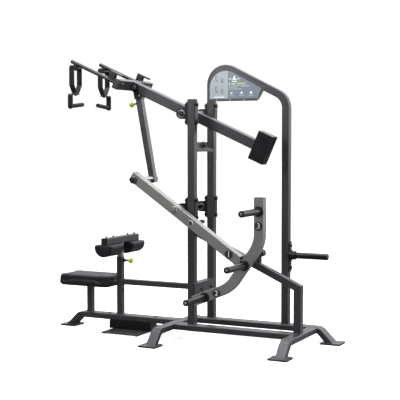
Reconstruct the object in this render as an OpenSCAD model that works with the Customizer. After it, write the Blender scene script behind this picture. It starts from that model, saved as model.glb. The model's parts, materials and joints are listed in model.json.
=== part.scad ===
// Plate-loaded lat pulldown machine.
// X runs towards the rear of the machine, Y towards its far side, Z up, floor at Z = 0.
// Coordinates are measured from the floor point midway between the two uprights;
// origin_shift then moves everything so that the origin is the bottom centre of the overall box.

/* [Stand] */
// height of the near upright's top above the floor
upright_top = 1896; // [1850:1:1930]
// half distance between the upright centres
upright_y = 176; // [170:1:182]
// square tube size of the uprights and the arch
post_size = 60; // [56:1:62]
// top surface height of the base tubes
base_top = 128; // [120:1:134]
// width of the base tubes
base_width = 108; // [100:1:110]

/* [Seat] */
// top height of the seat cushion
seat_top = 452; // [440:1:465]
// seat cushion length
seat_length = 487; // [450:1:500]
// seat cushion width
seat_width = 298; // [280:1:320]
// height of the thigh roller bar's underside
thigh_z = 728; // [700:1:760]

/* [Arms] */
// slope of the upper arm at rest, in degrees
arm_slope = 23.65; // [23:0.05:24.5]
// slope of the lower lever at rest, in degrees
lever_slope = 34.27; // [33.5:0.01:35]
// length of each weight horn
horn_length = 310; // [280:1:330]
// radius of each weight horn
horn_radius = 25; // [24:0.5:25]

/* [Hidden] */
$fn = 48;
sides = [-1, 1]; // near, far
origin_shift = [96.5, 165, 0];

// tube sections
tube_wall = 3;
tube_corner = 6;
post_half = post_size/2;
post_gap_half = upright_y - post_half; // from y = 0 to an upright's inner face
base_height = 46;
base_corner = 8;
base_z = base_top - base_height/2;
crossbar_width = 80;
column_size = 50;

// places along X
front_x = -176;
rear_x = 893;
arch_x = 651;
arch_face = arch_x + post_half;
rear_post_x = 891;
rear_post_face = rear_post_x + post_half;
seat_x = -1054;
thigh_x = -760;
thigh_face = thigh_x + column_size/2;

// pivots as [x, z]
pivot_x = -90;
arm_pivot = [pivot_x, 1790];
lever_pivot = [pivot_x, 1042];
link_top = [-588, 2008];
link_foot = [-448, 1268];
shaft_r = 17.5;
pin_r = 12.5;

// the link between the arm and the lever
link_line = link_foot - link_top;
link_length = norm(link_line);
link_tilt = atan2(link_line[0], -link_line[1]);

frame_color = [0.25, 0.25, 0.27];
bearing_color = [0.07, 0.07, 0.08];
bolt_color = [0.12, 0.12, 0.13];
steel_color = [0.6, 0.6, 0.62];
horn_color = [0.3, 0.3, 0.32];
lever_color = [0.42, 0.43, 0.42];
cast_color = [0.06, 0.06, 0.07];
cushion_color = [0.08, 0.08, 0.1];
cap_color = [0.05, 0.05, 0.05];
rubber_color = [0.04, 0.04, 0.04];
dark_color = [0.05, 0.05, 0.055];
knob_color = [0.6, 0.72, 0.16];

// ---------- placing ----------
module placed() { translate(origin_shift) children(); }
module in_arm() { translate([arm_pivot[0], 0, arm_pivot[1]]) rotate([0, arm_slope, 0]) children(); }
module in_lever() {
  translate([lever_pivot[0], 0, lever_pivot[1]]) rotate([0, lever_slope, 0]) children();
}
// origin at the link's top pivot, -z along the link
module in_link() { translate([link_top[0], 0, link_top[1]]) rotate([0, -link_tilt, 0]) children(); }

// ---------- shapes ----------
// rounded rectangle, a along x, b along y
module rounded(a, b, corner) {
  if (corner <= 0.2) square([a, b], center = true);
  else union() {
    square([a - 2*corner, b], center = true);
    square([a, b - 2*corner], center = true);
    for (i = sides) for (j = sides)
      translate([i*(a/2 - corner), j*(b/2 - corner)]) circle(corner);
  }
}
// hollow profile, solid when wall is 0
module profile(a, b, corner, wall) {
  if (wall == 0) rounded(a, b, corner);
  else difference() {
    rounded(a, b, corner);
    rounded(a - 2*wall, b - 2*wall, corner - wall);
  }
}
// straight tube up z with open ends
module tube(length, a, b, corner, wall = tube_wall) difference() {
  linear_extrude(length) rounded(a, b, corner);
  translate([0, 0, -1]) linear_extrude(length + 2)
    rounded(a - 2*wall, b - 2*wall, corner - wall);
}
module post(x, y, z0, z1, size, corner, wall = tube_wall)
  translate([x, y, z0]) tube(z1 - z0, size, size, corner, wall);

// solid rounded bars that start at a point; size is [y, z], [x, z] and [x, y]
module slab_x(start, length, size, corner)
  translate(start) rotate([90, 0, 90]) linear_extrude(length) rounded(size[0], size[1], corner);
module slab_y(start, length, size, corner)
  translate(start) rotate([-90, 0, 0]) linear_extrude(length) rounded(size[0], size[1], corner);
module slab_z(start, length, size, corner)
  translate(start) linear_extrude(length) rounded(size[0], size[1], corner);

// round and hexagonal rods along one axis; p holds the other two coordinates in x, y, z order
module rod_x(p, x0, x1, r)
  translate([x0, p[0], p[1]]) rotate([0, 90, 0]) cylinder(h = x1 - x0, r = r);
module rod_y(p, y0, y1, r)
  translate([p[0], min(y0, y1), p[1]]) rotate([-90, 0, 0]) cylinder(h = abs(y1 - y0), r = r);
module rod_z(p, z0, z1, r) translate([p[0], p[1], z0]) cylinder(h = z1 - z0, r = r);
module hex_x(p, x0, x1, flats)
  translate([x0, p[0], p[1]]) rotate([0, 90, 0])
    cylinder(h = x1 - x0, d = flats/cos(30), $fn = 6);
module hex_z(p, z0, z1, flats)
  translate([p[0], p[1], z0]) cylinder(h = z1 - z0, d = flats/cos(30), $fn = 6);
module box(x0, x1, y0, y1, z0, z1)
  translate([x0, min(y0, y1), z0]) cube([x1 - x0, abs(y1 - y0), z1 - z0]);

// ---------- bent tubes in a plane y = const, points as [x, z] ----------
function unit(v) = v/norm(v);
function turn_angle(before, corner, after) = acos(unit(corner - before)*unit(after - corner));
function tangent_length(before, corner, after, radius) =
  radius*tan(turn_angle(before, corner, after)/2);

// straight run; width across the plane, height in it
module run(start, end, width, height, corner, wall) {
  line = end - start;
  translate([start[0], 0, start[1]]) rotate([0, -atan2(line[1], line[0]), 0])
    rotate([90, 0, 90]) linear_extrude(norm(line)) profile(width, height, corner, wall);
}
// bend, 0.1 smaller all round than the runs it joins
module bend(before, at, after, radius, width, height, corner, wall) {
  dir_in = unit(at - before);
  dir_out = unit(after - at);
  angle_in = atan2(dir_in[1], dir_in[0]);
  turn = turn_angle(before, at, after);
  hand = dir_in[0]*dir_out[1] - dir_in[1]*dir_out[0] > 0 ? 1 : -1;
  start = at - dir_in*tangent_length(before, at, after, radius);
  centre = start + radius*hand*[-dir_in[1], dir_in[0]];
  translate([centre[0], 0, centre[1]]) rotate([90, 0, 0])
    rotate([0, 0, hand > 0 ? angle_in - 90 : angle_in + 90 - turn])
      rotate_extrude(angle = turn, $fn = 96) translate([radius, 0])
        profile(height - 0.2, width - 0.2, corner - 0.1, wall == 0 ? 0 : wall - 0.2);
}
// runs and bends through the points; the runs reach 1 mm into each bend
module path(points, radius, width, height, corner, wall) {
  last = len(points) - 2;
  function trim(i) = tangent_length(points[i-1], points[i], points[i+1], radius) - 1;
  for (i = [0:last]) {
    dir = unit(points[i+1] - points[i]);
    run(points[i] + dir*(i == 0 ? 0 : trim(i)),
        points[i+1] - dir*(i == last ? 0 : trim(i + 1)), width, height, corner, wall);
  }
  for (i = [1:last])
    bend(points[i-1], points[i], points[i+1], radius, width, height, corner, wall);
}

// ---------- base ----------
foot_height = 14;

// foot plate with two anchor holes; at, size and hole offset as [x, y]
module foot(at, size, hole) difference() {
  slab_z([at[0], at[1], 0], foot_height, size, 8);
  for (side = sides) rod_z(at + side*hole, -1, foot_height + 1, 7);
}
// keeps the part of a base tube above the foot plates
module above_feet(x0, x1, y_half) intersection() {
  children();
  box(x0, x1, -y_half, y_half, foot_height, 300);
}
// crossbar that bends down to a foot on the near side
module crossbar(x, end_y) {
  above_feet(x - 150, x + 150, 700) translate([x, 0, 0]) rotate([0, 0, 90])
    path([[-537, -4], [-431, base_z], [end_y, base_z]],
         60, crossbar_width, base_height, base_corner, tube_wall);
  foot([x, -545], [150, 132], [57, 0]);
}

base_start_x = front_x + crossbar_width/2;
module near_base_tube() color(frame_color) placed()
  translate([base_start_x, -upright_y, base_z]) rotate([90, 0, 90])
    tube(rear_x - front_x - crossbar_width, base_width, base_height, base_corner);
module far_base_tube() color(frame_color) placed() union() {
  translate([0, upright_y, 0]) above_feet(-400, 1400, 100)
    path([[base_start_x, base_z], [938, base_z], [1046, -3]],
         60, base_width, base_height, base_corner, tube_wall);
  foot([1042, upright_y + 6], [158, 150], [0, 62]);
}
module front_crossbar() color(frame_color) placed() crossbar(front_x, upright_y + base_width/2);
module rear_crossbar() color(frame_color) placed() crossbar(rear_x, upright_y - base_width/2);
module seat_beam() color(frame_color) placed() union() {
  above_feet(-1400, 0, 100)
    path([[front_x - crossbar_width/2, base_z], [-1140, base_z], [-1254, -9]],
         50, base_width, base_height, base_corner, tube_wall);
  foot([-1243, 0], [142, 152], [0, 64]);
}

// ---------- stand ----------
arch_bend = 130;
arch_corner_z = 2234.6; // height of the front corner of the arch centre line
storage_bolts_z = [578, 752];

module near_upright() color(frame_color) placed() difference() {
  post(0, -upright_y, base_top, upright_top, post_size, tube_corner);
  bearing_holes();
}
module arch_frame() color(frame_color) placed() difference() {
  translate([0, upright_y, 0])
    path([[0, base_top], [0, arch_corner_z], [arch_x, 1912.3], [arch_x, base_top]],
         arch_bend, post_size, post_size, tube_corner, tube_wall);
  bearing_holes();
  for (z = storage_bolts_z) rod_x([upright_y, z], arch_x + 20, arch_x + 40, 5.6);
}

brace_slope = 24.5;
brace_end_z = 491; // brace top at the rear face of the rear post
brace_depth = 55;

module in_brace() {
  translate([rear_post_face, 0, brace_end_z]) rotate([0, brace_slope, 0]) children();
}
module brace_solid(inset, x0, x1) intersection() {
  in_brace() slab_x([-1100, 0, -brace_depth/2], 1150,
                    [post_size - 2*inset, brace_depth - 2*inset], tube_corner - inset);
  box(x0, x1, -60, 60, base_top - 20, 1200);
}
// sloping brace that runs over the top of the rear post
module rear_brace() color(frame_color) placed() translate([0, -upright_y, 0]) union() {
  difference() {
    brace_solid(0, post_half, rear_post_face);
    brace_solid(tube_wall, post_half - 2, rear_post_face - tube_wall);
  }
  intersection() {
    translate([rear_post_x, 0, base_top]) linear_extrude(420)
      profile(post_size - 0.4, post_size - 0.4, tube_corner, tube_wall);
    in_brace() box(-300, 300, -60, 60, -800, -brace_depth + 1.5);
  }
}

// sloping plate between the uprights that carries the stop bumper
stop_half = post_gap_half - 0.1;
module in_stop() { translate([0, 0, 1536]) rotate([0, 45, 0]) children(); }
module stop_plate() color(frame_color) placed() difference() {
  union() {
    intersection() {
      in_stop() box(-42, 42, -stop_half, stop_half, -8, 0);
      box(-post_half, post_half, -200, 200, 1400, 1700);
    }
    box(post_half - 6, post_half, -stop_half, stop_half, 1490, 1504);
  }
  in_stop() rod_z([0, 0], -20, 10, 5);
}

// the cross plate and the mid beam's flange share two bolts
cross_t = 8;
cross_bottom = 352;
cross_top = 456;
cross_bolt_y = 85;
cross_bolt_z = 400;
mid_end = post_half - 2*cross_t;
module cross_bolt_holes() for (side = sides) rod_x([side*cross_bolt_y, cross_bolt_z], 0, 60, 6.6);
module lower_cross_plate() color(frame_color) placed() difference() {
  union() {
    box(post_half, post_half + cross_t, -(upright_y + post_half), post_gap_half,
        cross_bottom, cross_top);
    box(-post_half, post_half, -post_gap_half, post_gap_half, cross_top - cross_t, cross_top);
    box(post_half - cross_t, post_half, -post_gap_half, post_gap_half, cross_bottom, cross_top);
  }
  cross_bolt_holes();
}
module mid_beam() color(frame_color) placed() difference() {
  union() {
    translate([thigh_face, 0, 402]) rotate([90, 0, 90]) tube(mid_end - thigh_face, 50, 45, 5);
    slab_x([mid_end, 0, cross_bolt_z], cross_t, [230, 80], 8);
  }
  cross_bolt_holes();
}

// ---------- bearings ----------
// bearing places as [y, z]
bearings = [for (pivot = [arm_pivot, lever_pivot]) for (side = sides) [side*upright_y, pivot[1]]];
bearing_bolts_at = [for (b = bearings) for (side = sides) b + [0, side*66]];
bearing_plate_t = 8;

module bearing_holes() for (p = bearing_bolts_at) rod_x(p, -80, 80, 7.6);
// a plate behind each bearing on both faces of its upright
module bearing_plates() color(bearing_color) placed() difference() {
  for (b = bearings) {
    slab_x([post_half, b[0], b[1]], bearing_plate_t, [50, 176], 5);
    slab_x([-post_half - bearing_plate_t, b[0], b[1]], bearing_plate_t, [50, 184], 5);
  }
  bearing_holes();
}
module bearing_housings() color(bearing_color) placed() difference() {
  for (b = bearings) union() {
    slab_x([-post_half - 22, b[0], b[1]], 14, [46, 172], 10);
    rod_y([pivot_x, b[1]], b[0] - 19, b[0] + 19, 43);
    box(-post_half - 60, -post_half - 9, b[0] - 19, b[0] + 19, b[1] - 43, b[1] + 43);
  }
  for (b = bearings) rod_y([pivot_x, b[1]], b[0] - 30, b[0] + 30, 33);
  bearing_holes();
}
module bearing_inserts() color(steel_color) placed() difference() {
  for (b = bearings) union() {
    rod_y([pivot_x, b[1]], b[0] - 17, b[0] + 17, 32.9);
    rod_y([pivot_x, b[1]], b[0] - 24, b[0] + 24, 24.5);
  }
  for (b = bearings) rod_y([pivot_x, b[1]], b[0] - 40, b[0] + 40, shaft_r + 0.05);
}
module bearing_bolts() color(bolt_color) placed()
  for (p = bearing_bolts_at) union() {
    rod_x(p, -post_half - 30, 52, 7);
    hex_x(p, -post_half - 32, -post_half - 22, 22);
    hex_x(p, post_half + bearing_plate_t, post_half + 20, 22);
  }

// ---------- caps ----------
// plug for a tube end at z = 0: a flat plate above, a body with clearance inside the tube
module end_plug(a, b, corner, body_corner, clearance = 0.2, lift = 0) {
  inset = 2*(tube_wall + clearance);
  slab_z([0, 0, lift], 4, [a, b], corner);
  slab_z([0, 0, -14], 14.01 + lift, [a - inset, b - inset], body_corner);
}
// plug for the end of a tube along y, end_y out from the centre
module side_plug(side, end_y, a, b) {
  slab_y([0, min(side*end_y, side*(end_y + 5)), 0], 5, [a, b], 5);
  slab_y([0, min(side*(end_y - 12), side*end_y), 0], 12, [a - 6.4, b - 6.4], 2);
}
column_top = 602;
module end_caps() color(cap_color) placed() union() {
  translate([0, -upright_y, upright_top]) end_plug(60, 60, 6, 3);
  difference() {
    slab_z([thigh_x, 0, column_top], 8, [54, 54], 6);
    slab_z([thigh_x, 0, column_top - 12], 30, [42, 42], 4);
  }
  translate([front_x, upright_y + base_width/2, base_z]) rotate([-90, 0, 0])
    end_plug(crossbar_width, base_height, base_corner, 4.6);
  rod_x(storage_at, arch_face + 308.02, arch_face + 318, 24.7);
}

// ---------- sign ----------
// the sign sits in the front top corner of the arch; outlines as [x, z]
sign_slope = 26.3;
sign_left = -2;
sign_right = 486.1;
sign_bottom = 1893;
sign_t = 3;
board_centre = [arch_bend, arch_corner_z - arch_bend*tan((90 + sign_slope)/2)];
board_radius = arch_bend - sign_left;
face_centre = [138, 1995];
face_radius = 140;
face_bottom = 1912;
rivets = [[60, 1902], [180, 1902], [300, 1902], [420, 1902], [459, 1950]];

// arc from pointing front to square with the slope
function shoulder(centre, radius) = [for (i = [0:16])
  let(angle = 180 - (90 + sign_slope)*i/16) centre + radius*[cos(angle), sin(angle)]];
function board_outline() =
  let(slope_start = board_centre + board_radius*[sin(sign_slope), cos(sign_slope)],
      tip_z = slope_start[1] - (sign_right - slope_start[0])*tan(sign_slope))
  concat([[sign_left, sign_bottom]], shoulder(board_centre, board_radius),
         [[sign_right, tip_z], [sign_right - (tip_z - sign_bottom)*0.63, sign_bottom]]);

// stands an [x, z] outline on the arch's inner face, y further towards the far side
module on_sign(y, p = [0, 0]) {
  translate([p[0], post_gap_half + y, p[1]]) rotate([90, 0, 0]) children();
}
module sign_board() color([0.2, 0.2, 0.22]) placed() difference() {
  on_sign(0) linear_extrude(sign_t) polygon(board_outline());
  for (p = rivets) on_sign(1, p) cylinder(h = 6, r = 2.6);
}
// printed panel: upright left edge, a round shoulder, a slope and a raked end
module sign_face() color([0.5, 0.55, 0.6]) placed()
  on_sign(-sign_t) linear_extrude(1.5)
    polygon(concat([[face_centre[0] - face_radius, face_bottom]],
                   shoulder(face_centre, face_radius),
                   [[442, 1995], [449, 1985], [418, face_bottom]]));
module sign_rivets() color([0.6, 0.6, 0.6]) placed()
  for (p = rivets) union() {
    on_sign(-sign_t, p) cylinder(h = 2, r = 5);
    on_sign(-0.1, p) cylinder(h = 3, r = 2.5);
  }

// ---------- storage horn, on the rear face of the arch ----------
storage_at = [upright_y, 676]; // y, z
module storage_bracket() color(cast_color) placed() difference() {
  union() {
    slab_x([arch_face, upright_y, 665], 8, [54, 240], 6);
    rod_x(storage_at, arch_face + 8, arch_face + 20, 42);
    rod_x(storage_at, arch_face + 8, arch_face + 52, 34);
  }
  for (z = storage_bolts_z) rod_x([upright_y, z], arch_x + 20, arch_x + 60, 5.6);
  rod_x(storage_at, arch_face + 2, arch_face + 80, 24.1);
}
module storage_horn() color(horn_color) placed() union() {
  rod_x(storage_at, arch_face + 2.1, arch_face + 53, 24);
  rod_x(storage_at, arch_face + 52.1, arch_face + 308, 25);
}

// ---------- bolts ----------
pin_z = 581; // height of the thigh adjustment pin
// bolt head with its washer
module bolt_head_z(p, z, flats) {
  hex_z(p, z, z + 7, flats);
  rod_z(p, z, z + 1.6, flats*0.75);
}
module frame_bolts() color(bolt_color) placed() {
  for (z = storage_bolts_z) union() {
    rod_x([upright_y, z], arch_face - 8, arch_face + 12, 5.4);
    rod_x([upright_y, z], arch_face + 8, arch_face + 11, 13);
    hex_x([upright_y, z], arch_face + 11, arch_face + 21, 19);
  }
  for (side = sides) let(p = [side*cross_bolt_y, cross_bolt_z]) union() {
    rod_x(p, 8, post_half + 18, 6.4);
    hex_x(p, post_half + cross_t, post_half + 17, 19);
    hex_x(p, 4, mid_end, 19);
  }
  for (x = [-868, -425]) bolt_head_z([x, 0], base_top, 19);
  hex_x([0, 332], thigh_face, thigh_face + 8, 17);
  // bush around the thigh pin
  difference() {
    rod_x([0, pin_z], thigh_face, thigh_x + 52, 12);
    rod_x([0, pin_z], thigh_x + 20, thigh_x + 60, 6.3);
  }
  for (p = seat_bolts) union() {
    rod_z(p, 352, board_z - 0.1, 4);
    hex_z(p, board_z - 12, board_z - 6, 13);
  }
}

// ---------- bumpers ----------
module stop_bumper() union() {
  in_stop() cylinder(h = 30, r1 = 24, r2 = 20);
  in_stop() rod_z([0, 0], -8.1, 0.9, 4.9);
}
// buffer that stands on the brace beside the weight carrier
buffer_z = 722;
module carrier_buffer() union() {
  intersection() {
    in_brace() box(-436, -366, -upright_y - 24, -upright_y + 24, 0, 75);
    box(530, 582, -300, -100, 600, buffer_z);
  }
  rod_y([588, buffer_z], -upright_y - 30, -upright_y + 28, 28);
}
module rubber_bumpers() color(rubber_color) placed() {
  stop_bumper();
  carrier_buffer();
}

// ---------- seat ----------
board_z = seat_top - 91; // underside of the seat board
board_t = 10;
seat_plate_t = 6;
seat_rear_x = -802;
seat_centre_x = seat_rear_x - seat_length/2;
seat_bolts = [for (i = sides) for (j = sides) [seat_x + i*80, j*65]];

module seat_post() color(frame_color) placed() union() {
  post(seat_x, 0, base_top, board_z - seat_plate_t, column_size, 5);
  difference() {
    slab_z([seat_x, 0, board_z - seat_plate_t], seat_plate_t, [200, 170], 10);
    for (p = seat_bolts) rod_z(p, 0, 600, 4.2);
  }
}
module seat_board() color([0.15, 0.12, 0.1]) placed()
  slab_z([seat_centre_x, 0, board_z], board_t, [seat_length - 24, seat_width - 24], 40);
// cushion with a smaller top layer
module seat_pad() color(cushion_color) placed() union() {
  slab_z([seat_centre_x, 0, board_z + board_t], seat_top - board_z - board_t - 6,
         [seat_length, seat_width], 45);
  slab_z([seat_centre_x, 0, seat_top - 6.01], 6, [seat_length - 22, seat_width - 22], 40);
}
module thigh_column() color(frame_color) placed() difference() {
  post(thigh_x, 0, base_top, column_top, column_size, 5, 4.4);
  rod_x([0, pin_z], thigh_x + 10, thigh_x + 40, 6.3);
}
// sheet box under the beam that carries the tread plate
module foot_box() color(dark_color) placed() difference() {
  box(-838, -448, -54, 54, 12, base_top - base_height);
  box(-834, -452, -50, 50, 11, base_top - base_height - 4);
}
tread_x = -630;
module foot_tread() color([0.08, 0.08, 0.08]) placed() union() {
  slab_z([tread_x, 0, 6], 6, [348, 500], 6);
  for (i = sides) for (j = sides) rod_z([tread_x + i*150, j*225], 0, 6.01, 18);
}

// ---------- thigh roller assembly ----------
roller_bar = 55;
roller_bar_half = 256;
roller_bar_z = thigh_z + roller_bar/2;

module thigh_slider() color([0.5, 0.5, 0.52]) placed() difference() {
  post(thigh_x, 0, 300, thigh_z, 41, 4);
  for (i = [0:7]) rod_x([0, pin_z - 30*i], thigh_x + 5, thigh_x + 30, 6.2);
}
module thigh_crossbar() color(frame_color) placed()
  translate([thigh_x, -roller_bar_half, roller_bar_z]) rotate([-90, 0, 0])
    tube(2*roller_bar_half, roller_bar, roller_bar, 5);
module thigh_caps() color(rubber_color) placed() for (side = sides)
  translate([thigh_x, 0, roller_bar_z]) side_plug(side, roller_bar_half, roller_bar, roller_bar);
// half-round bolsters, flat side up
module thigh_pads() color(cushion_color) placed() for (side = sides)
  translate([thigh_x - 3, min(side*70, side*280), thigh_z]) rotate([-90, 0, 0])
    linear_extrude(210) intersection() {
      translate([0, 18]) circle(82, $fn = 96);
      translate([-90, 0]) square([180, 110]);
    }
module thigh_bolts() color(bolt_color) placed()
  for (side = sides) for (y = [118, 226]) union() {
    bolt_head_z([thigh_x, side*y], thigh_z + roller_bar, 17);
    rod_z([thigh_x, side*y], thigh_z + 60, thigh_z + 72, 4.5);
  }
// spring pin, drawn back clear of the sliding tube at rest; it goes in 12 mm to lock
module thigh_pin() color(steel_color) placed() union() {
  rod_x([0, pin_z], thigh_x + 22, thigh_x + 96, 6);
  rod_x([0, pin_z], thigh_x + 66, thigh_x + 75.9, 9);
}
module thigh_knob() color(knob_color) placed() difference() {
  union() {
    rod_x([0, pin_z], thigh_x + 76, thigh_x + 100, 9);
    rod_x([0, pin_z], thigh_x + 88, thigh_x + 112, 14);
    translate([thigh_x + 98, 0, pin_z]) rotate([0, 90, 0])
      rotate_extrude() translate([16, 0]) circle(8, $fn = 24);
    rod_x([0, pin_z], thigh_x + 92, thigh_x + 105, 17);
  }
  rod_x([0, pin_z], thigh_x + 60, thigh_x + 96, 6.05);
}

// ---------- upper arm, in the arm's frame ----------
arm_size = 80;
cross_tube_x = -595; // cross tube at the arm's front end
cross_tube_width = 50;
cross_tube_half = 270;
arm_pin = [-543.6, 0]; // link pin, x and z
arm_bolt_z = 14;
bar_y = 220;
bar_r = 16;
bar_front_x = -1086;
hang_at = [-1031, -38]; // hanger pin, x and z

module upper_arm() color(frame_color) placed() in_arm() difference() {
  union() {
    slab_x([-571, 0, 0], 1175, [arm_size, arm_size], 7);
    slab_y([cross_tube_x, -cross_tube_half, 0], 2*cross_tube_half,
           [cross_tube_width, arm_size], 5);
  }
  slab_x([-560, 0, 0], 1180, [arm_size - 2*tube_wall, arm_size - 2*tube_wall], 4);
  slab_y([cross_tube_x, -cross_tube_half - 2, 0], 2*cross_tube_half + 4,
         [cross_tube_width - 2*tube_wall, arm_size - 2*tube_wall], 2);
  rod_y([0, 0], -60, 60, shaft_r + 0.1);
  rod_y(arm_pin, -60, 60, pin_r + 0.1);
  for (side = sides) rod_x([side*bar_y, arm_bolt_z], -600, -560, 5.6);
}
// plugs in the cross tube, and collars and end caps on the arm shaft
module arm_caps() color(rubber_color) placed() union() {
  in_arm() for (side = sides)
    translate([cross_tube_x, 0, 0]) side_plug(side, cross_tube_half, cross_tube_width, arm_size);
  difference() {
    for (side = sides) union() {
      rod_y(arm_pivot, side*42, side*62, 28);
      rod_y(arm_pivot, side*200.5, side*213, 20);
    }
    rod_y(arm_pivot, -205.05, 205.05, shaft_r + 0.05);
  }
}
module counterweight() color(cast_color) placed() in_arm() slab_x([604, 0, 1], 127, [100, 234], 5);
module handle_bars() color([0.03, 0.03, 0.03]) placed() in_arm() for (side = sides) union() {
  rod_x([side*bar_y, 0], bar_front_x, -620, bar_r);
  translate([bar_front_x, side*bar_y, 0]) rotate([0, -90, 0]) cylinder(h = 6, r1 = bar_r, r2 = 10);
}
module bar_brackets() color([0.15, 0.15, 0.16]) placed() in_arm() {
  for (side = sides) difference() {
    translate([0, side*bar_y, 0]) union() {
      box(-704, -650, -18, 18, 6, 66);
      box(-704, -590, -18, 18, 64, 76);
    }
    rod_x([side*bar_y, 0], -800, -600, bar_r + 0.05);
  }
  for (side = sides) union() {
    rod_x([side*bar_y, arm_bolt_z], -574, -566, 5.4);
    hex_x([side*bar_y, arm_bolt_z], -570, -562, 17);
  }
}
module hanger_bosses() color(dark_color) placed() in_arm() for (side = sides) difference() {
  translate([0, side*bar_y, 0]) union() {
    rod_y(hang_at, -49, 49, 20);
    box(hang_at[0] - 16, hang_at[0] + 16, -24, 24, hang_at[1], -4);
  }
  rod_x([side*bar_y, 0], -1200, -600, bar_r + 0.05);
  rod_y(hang_at, -400, 400, hang_pin_r + 0.06);
}
module upper_shaft() color(steel_color) placed() union() {
  rod_y(arm_pivot, -205, 205, shaft_r);
  in_arm() rod_y(arm_pin, -64, 64, pin_r);
  in_arm() for (side = sides) rod_y(arm_pin, side*60, side*70, 17);
}

// ---------- link, in the link's frame ----------
link_knob_z = -124;
// upright plate 8 thick with a round top about the origin
module cheek(y, radius, width, length)
  translate([0, y - 4, 0]) rotate([-90, 0, 0]) linear_extrude(8) union() {
    circle(radius);
    translate([-width/2, 0]) square([width, length]);
  }
module link_tube() color([0.3, 0.3, 0.33]) placed() in_link() difference() {
  slab_z([0, 0, -link_length - 34], link_length + 34 - 96, [50, 58], 5);
  slab_z([0, 0, -link_length + 60], link_length, [43, 51], 3);
  rod_y([0, -link_length], -60, 60, 22);
  rod_x([0, link_knob_z], -60, 0, 7.1);
}
module link_head() color([0.04, 0.04, 0.045]) placed() in_link() difference() {
  union() {
    slab_z([0, 0, -260], 182, [42.4, 50.4], 3);
    for (side = sides) cheek(side*46, 26, 44, 88);
    box(-22, 22, -50, 50, -92, -78);
  }
  rod_y([0, 0], -60, 60, pin_r + 0.1);
  rod_x([0, link_knob_z], -60, 0, 7.1);
}
// ball of stacked cone slices on a stem
ball_r = 21;
ball_step = 20; // degrees per slice
module link_knob() color(knob_color) placed() in_link() union() {
  translate([-84, 0, link_knob_z]) rotate([0, 90, 0]) for (i = [-4:3])
    let(low = ball_step*i, high = low + ball_step)
      translate([0, 0, ball_r*sin(low)])
        cylinder(h = ball_r*(sin(high) - sin(low)), r1 = ball_r*cos(low), r2 = ball_r*cos(high));
  rod_x([0, link_knob_z], -72, -14, 7);
}

// ---------- weight lever ----------
lever_y = -320; // near face of the lever and the carrier
lever_width = 70;
lever_depth = 80;
lever_front_x = -455; // in the lever's frame
carrier_width = 60;
// carrier centre line from its top end to its front end, as [x, z]
carrier = [[625, 1150], [625, 803], [379.5, 458.5], [78, 336.5]];
carrier_y = lever_y + carrier_width/2;
carrier_end_line = carrier[3] - carrier[2];
// horns, number discs and the rod behind the near upright, as [x, z]
horns = [[511, 637], [177, 374], [626, 1050]];
discs = [[382, 716], [279, 411], [626, 939]];
rest_rod = [57, 940];
rest_rod_r = 13;

module carrier_path(width, corner, extend, wall)
  translate([0, carrier_y, 0])
    path([carrier[0] + [0, extend], carrier[1], carrier[2],
          carrier[3] + extend*unit(carrier_end_line)],
         250, width, lever_depth, corner, wall);
// hole across the lever
module lever_bore(p, r) rod_y(p, lever_y - 50, lever_y + 120, r + 0.1);
// the lever ends where it meets the carrier
module lever_tube() color(lever_color) placed() difference() {
  in_lever() slab_x([lever_front_x, lever_y + lever_width/2, -2], 1150,
                    [lever_width, lever_depth], tube_corner);
  in_lever() slab_x([lever_front_x - 5, lever_y + lever_width/2, -2], 1160,
                    [lever_width - 2*tube_wall, lever_depth - 2*tube_wall],
                    tube_corner - tube_wall);
  carrier_path(300, 0, 300, 0);
  box(560, 1200, -600, 0, 0, 1400);
  translate([carrier[1][0], 0, carrier[1][1]]) box(-150, 300, -600, 0, -900, -100);
  lever_bore(lever_pivot, shaft_r);
  lever_bore(link_foot, pin_r);
  lever_bore(rest_rod, rest_rod_r);
}
module weight_carrier() color(lever_color) placed() difference() {
  carrier_path(carrier_width, tube_corner, 0, tube_wall);
  for (p = horns) rod_y(p, lever_y - 20, lever_y + 20, horn_radius - 0.9);
}
module lever_plug(a, b) end_plug(a, b, tube_corner, 2.7, clearance = 0.3, lift = 0.05);
// plugs in the open ends, and caps no wider than the horns, so that plates pass over them
module lever_caps() color(cap_color) placed() union() {
  translate([carrier[0][0], carrier_y, carrier[0][1]]) lever_plug(lever_depth, carrier_width);
  translate([carrier[3][0], carrier_y, carrier[3][1]])
    rotate([0, -atan2(carrier_end_line[1], carrier_end_line[0]), 0])
      rotate([90, 0, 90]) lever_plug(carrier_width, lever_depth);
  in_lever() translate([lever_front_x, lever_y + lever_width/2, -2])
    rotate([-90, 0, 90]) lever_plug(lever_width, lever_depth);
  for (p = horns)
    rod_y(p, lever_y - horn_length - 10, lever_y - horn_length - 0.02, horn_radius - 0.3);
}
module weight_horns() color(horn_color) placed() for (p = horns) union() {
  rod_y(p, lever_y - horn_length, lever_y - 16.1, horn_radius);
  rod_y(p, lever_y - 17, lever_y + carrier_width - tube_wall - 0.1, horn_radius - 1);
}
module horn_flanges() color(rubber_color) placed() for (p = horns) difference() {
  union() {
    rod_y(p, lever_y - 8, lever_y, 40);
    rod_y(p, lever_y - 16, lever_y, 36);
  }
  rod_y(p, lever_y - 30, lever_y + 30, horn_radius - 0.9);
}
module number_discs() color([0.08, 0.08, 0.09]) placed()
  for (p = discs) rod_y(p, lever_y - 3, lever_y, 33);
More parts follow.
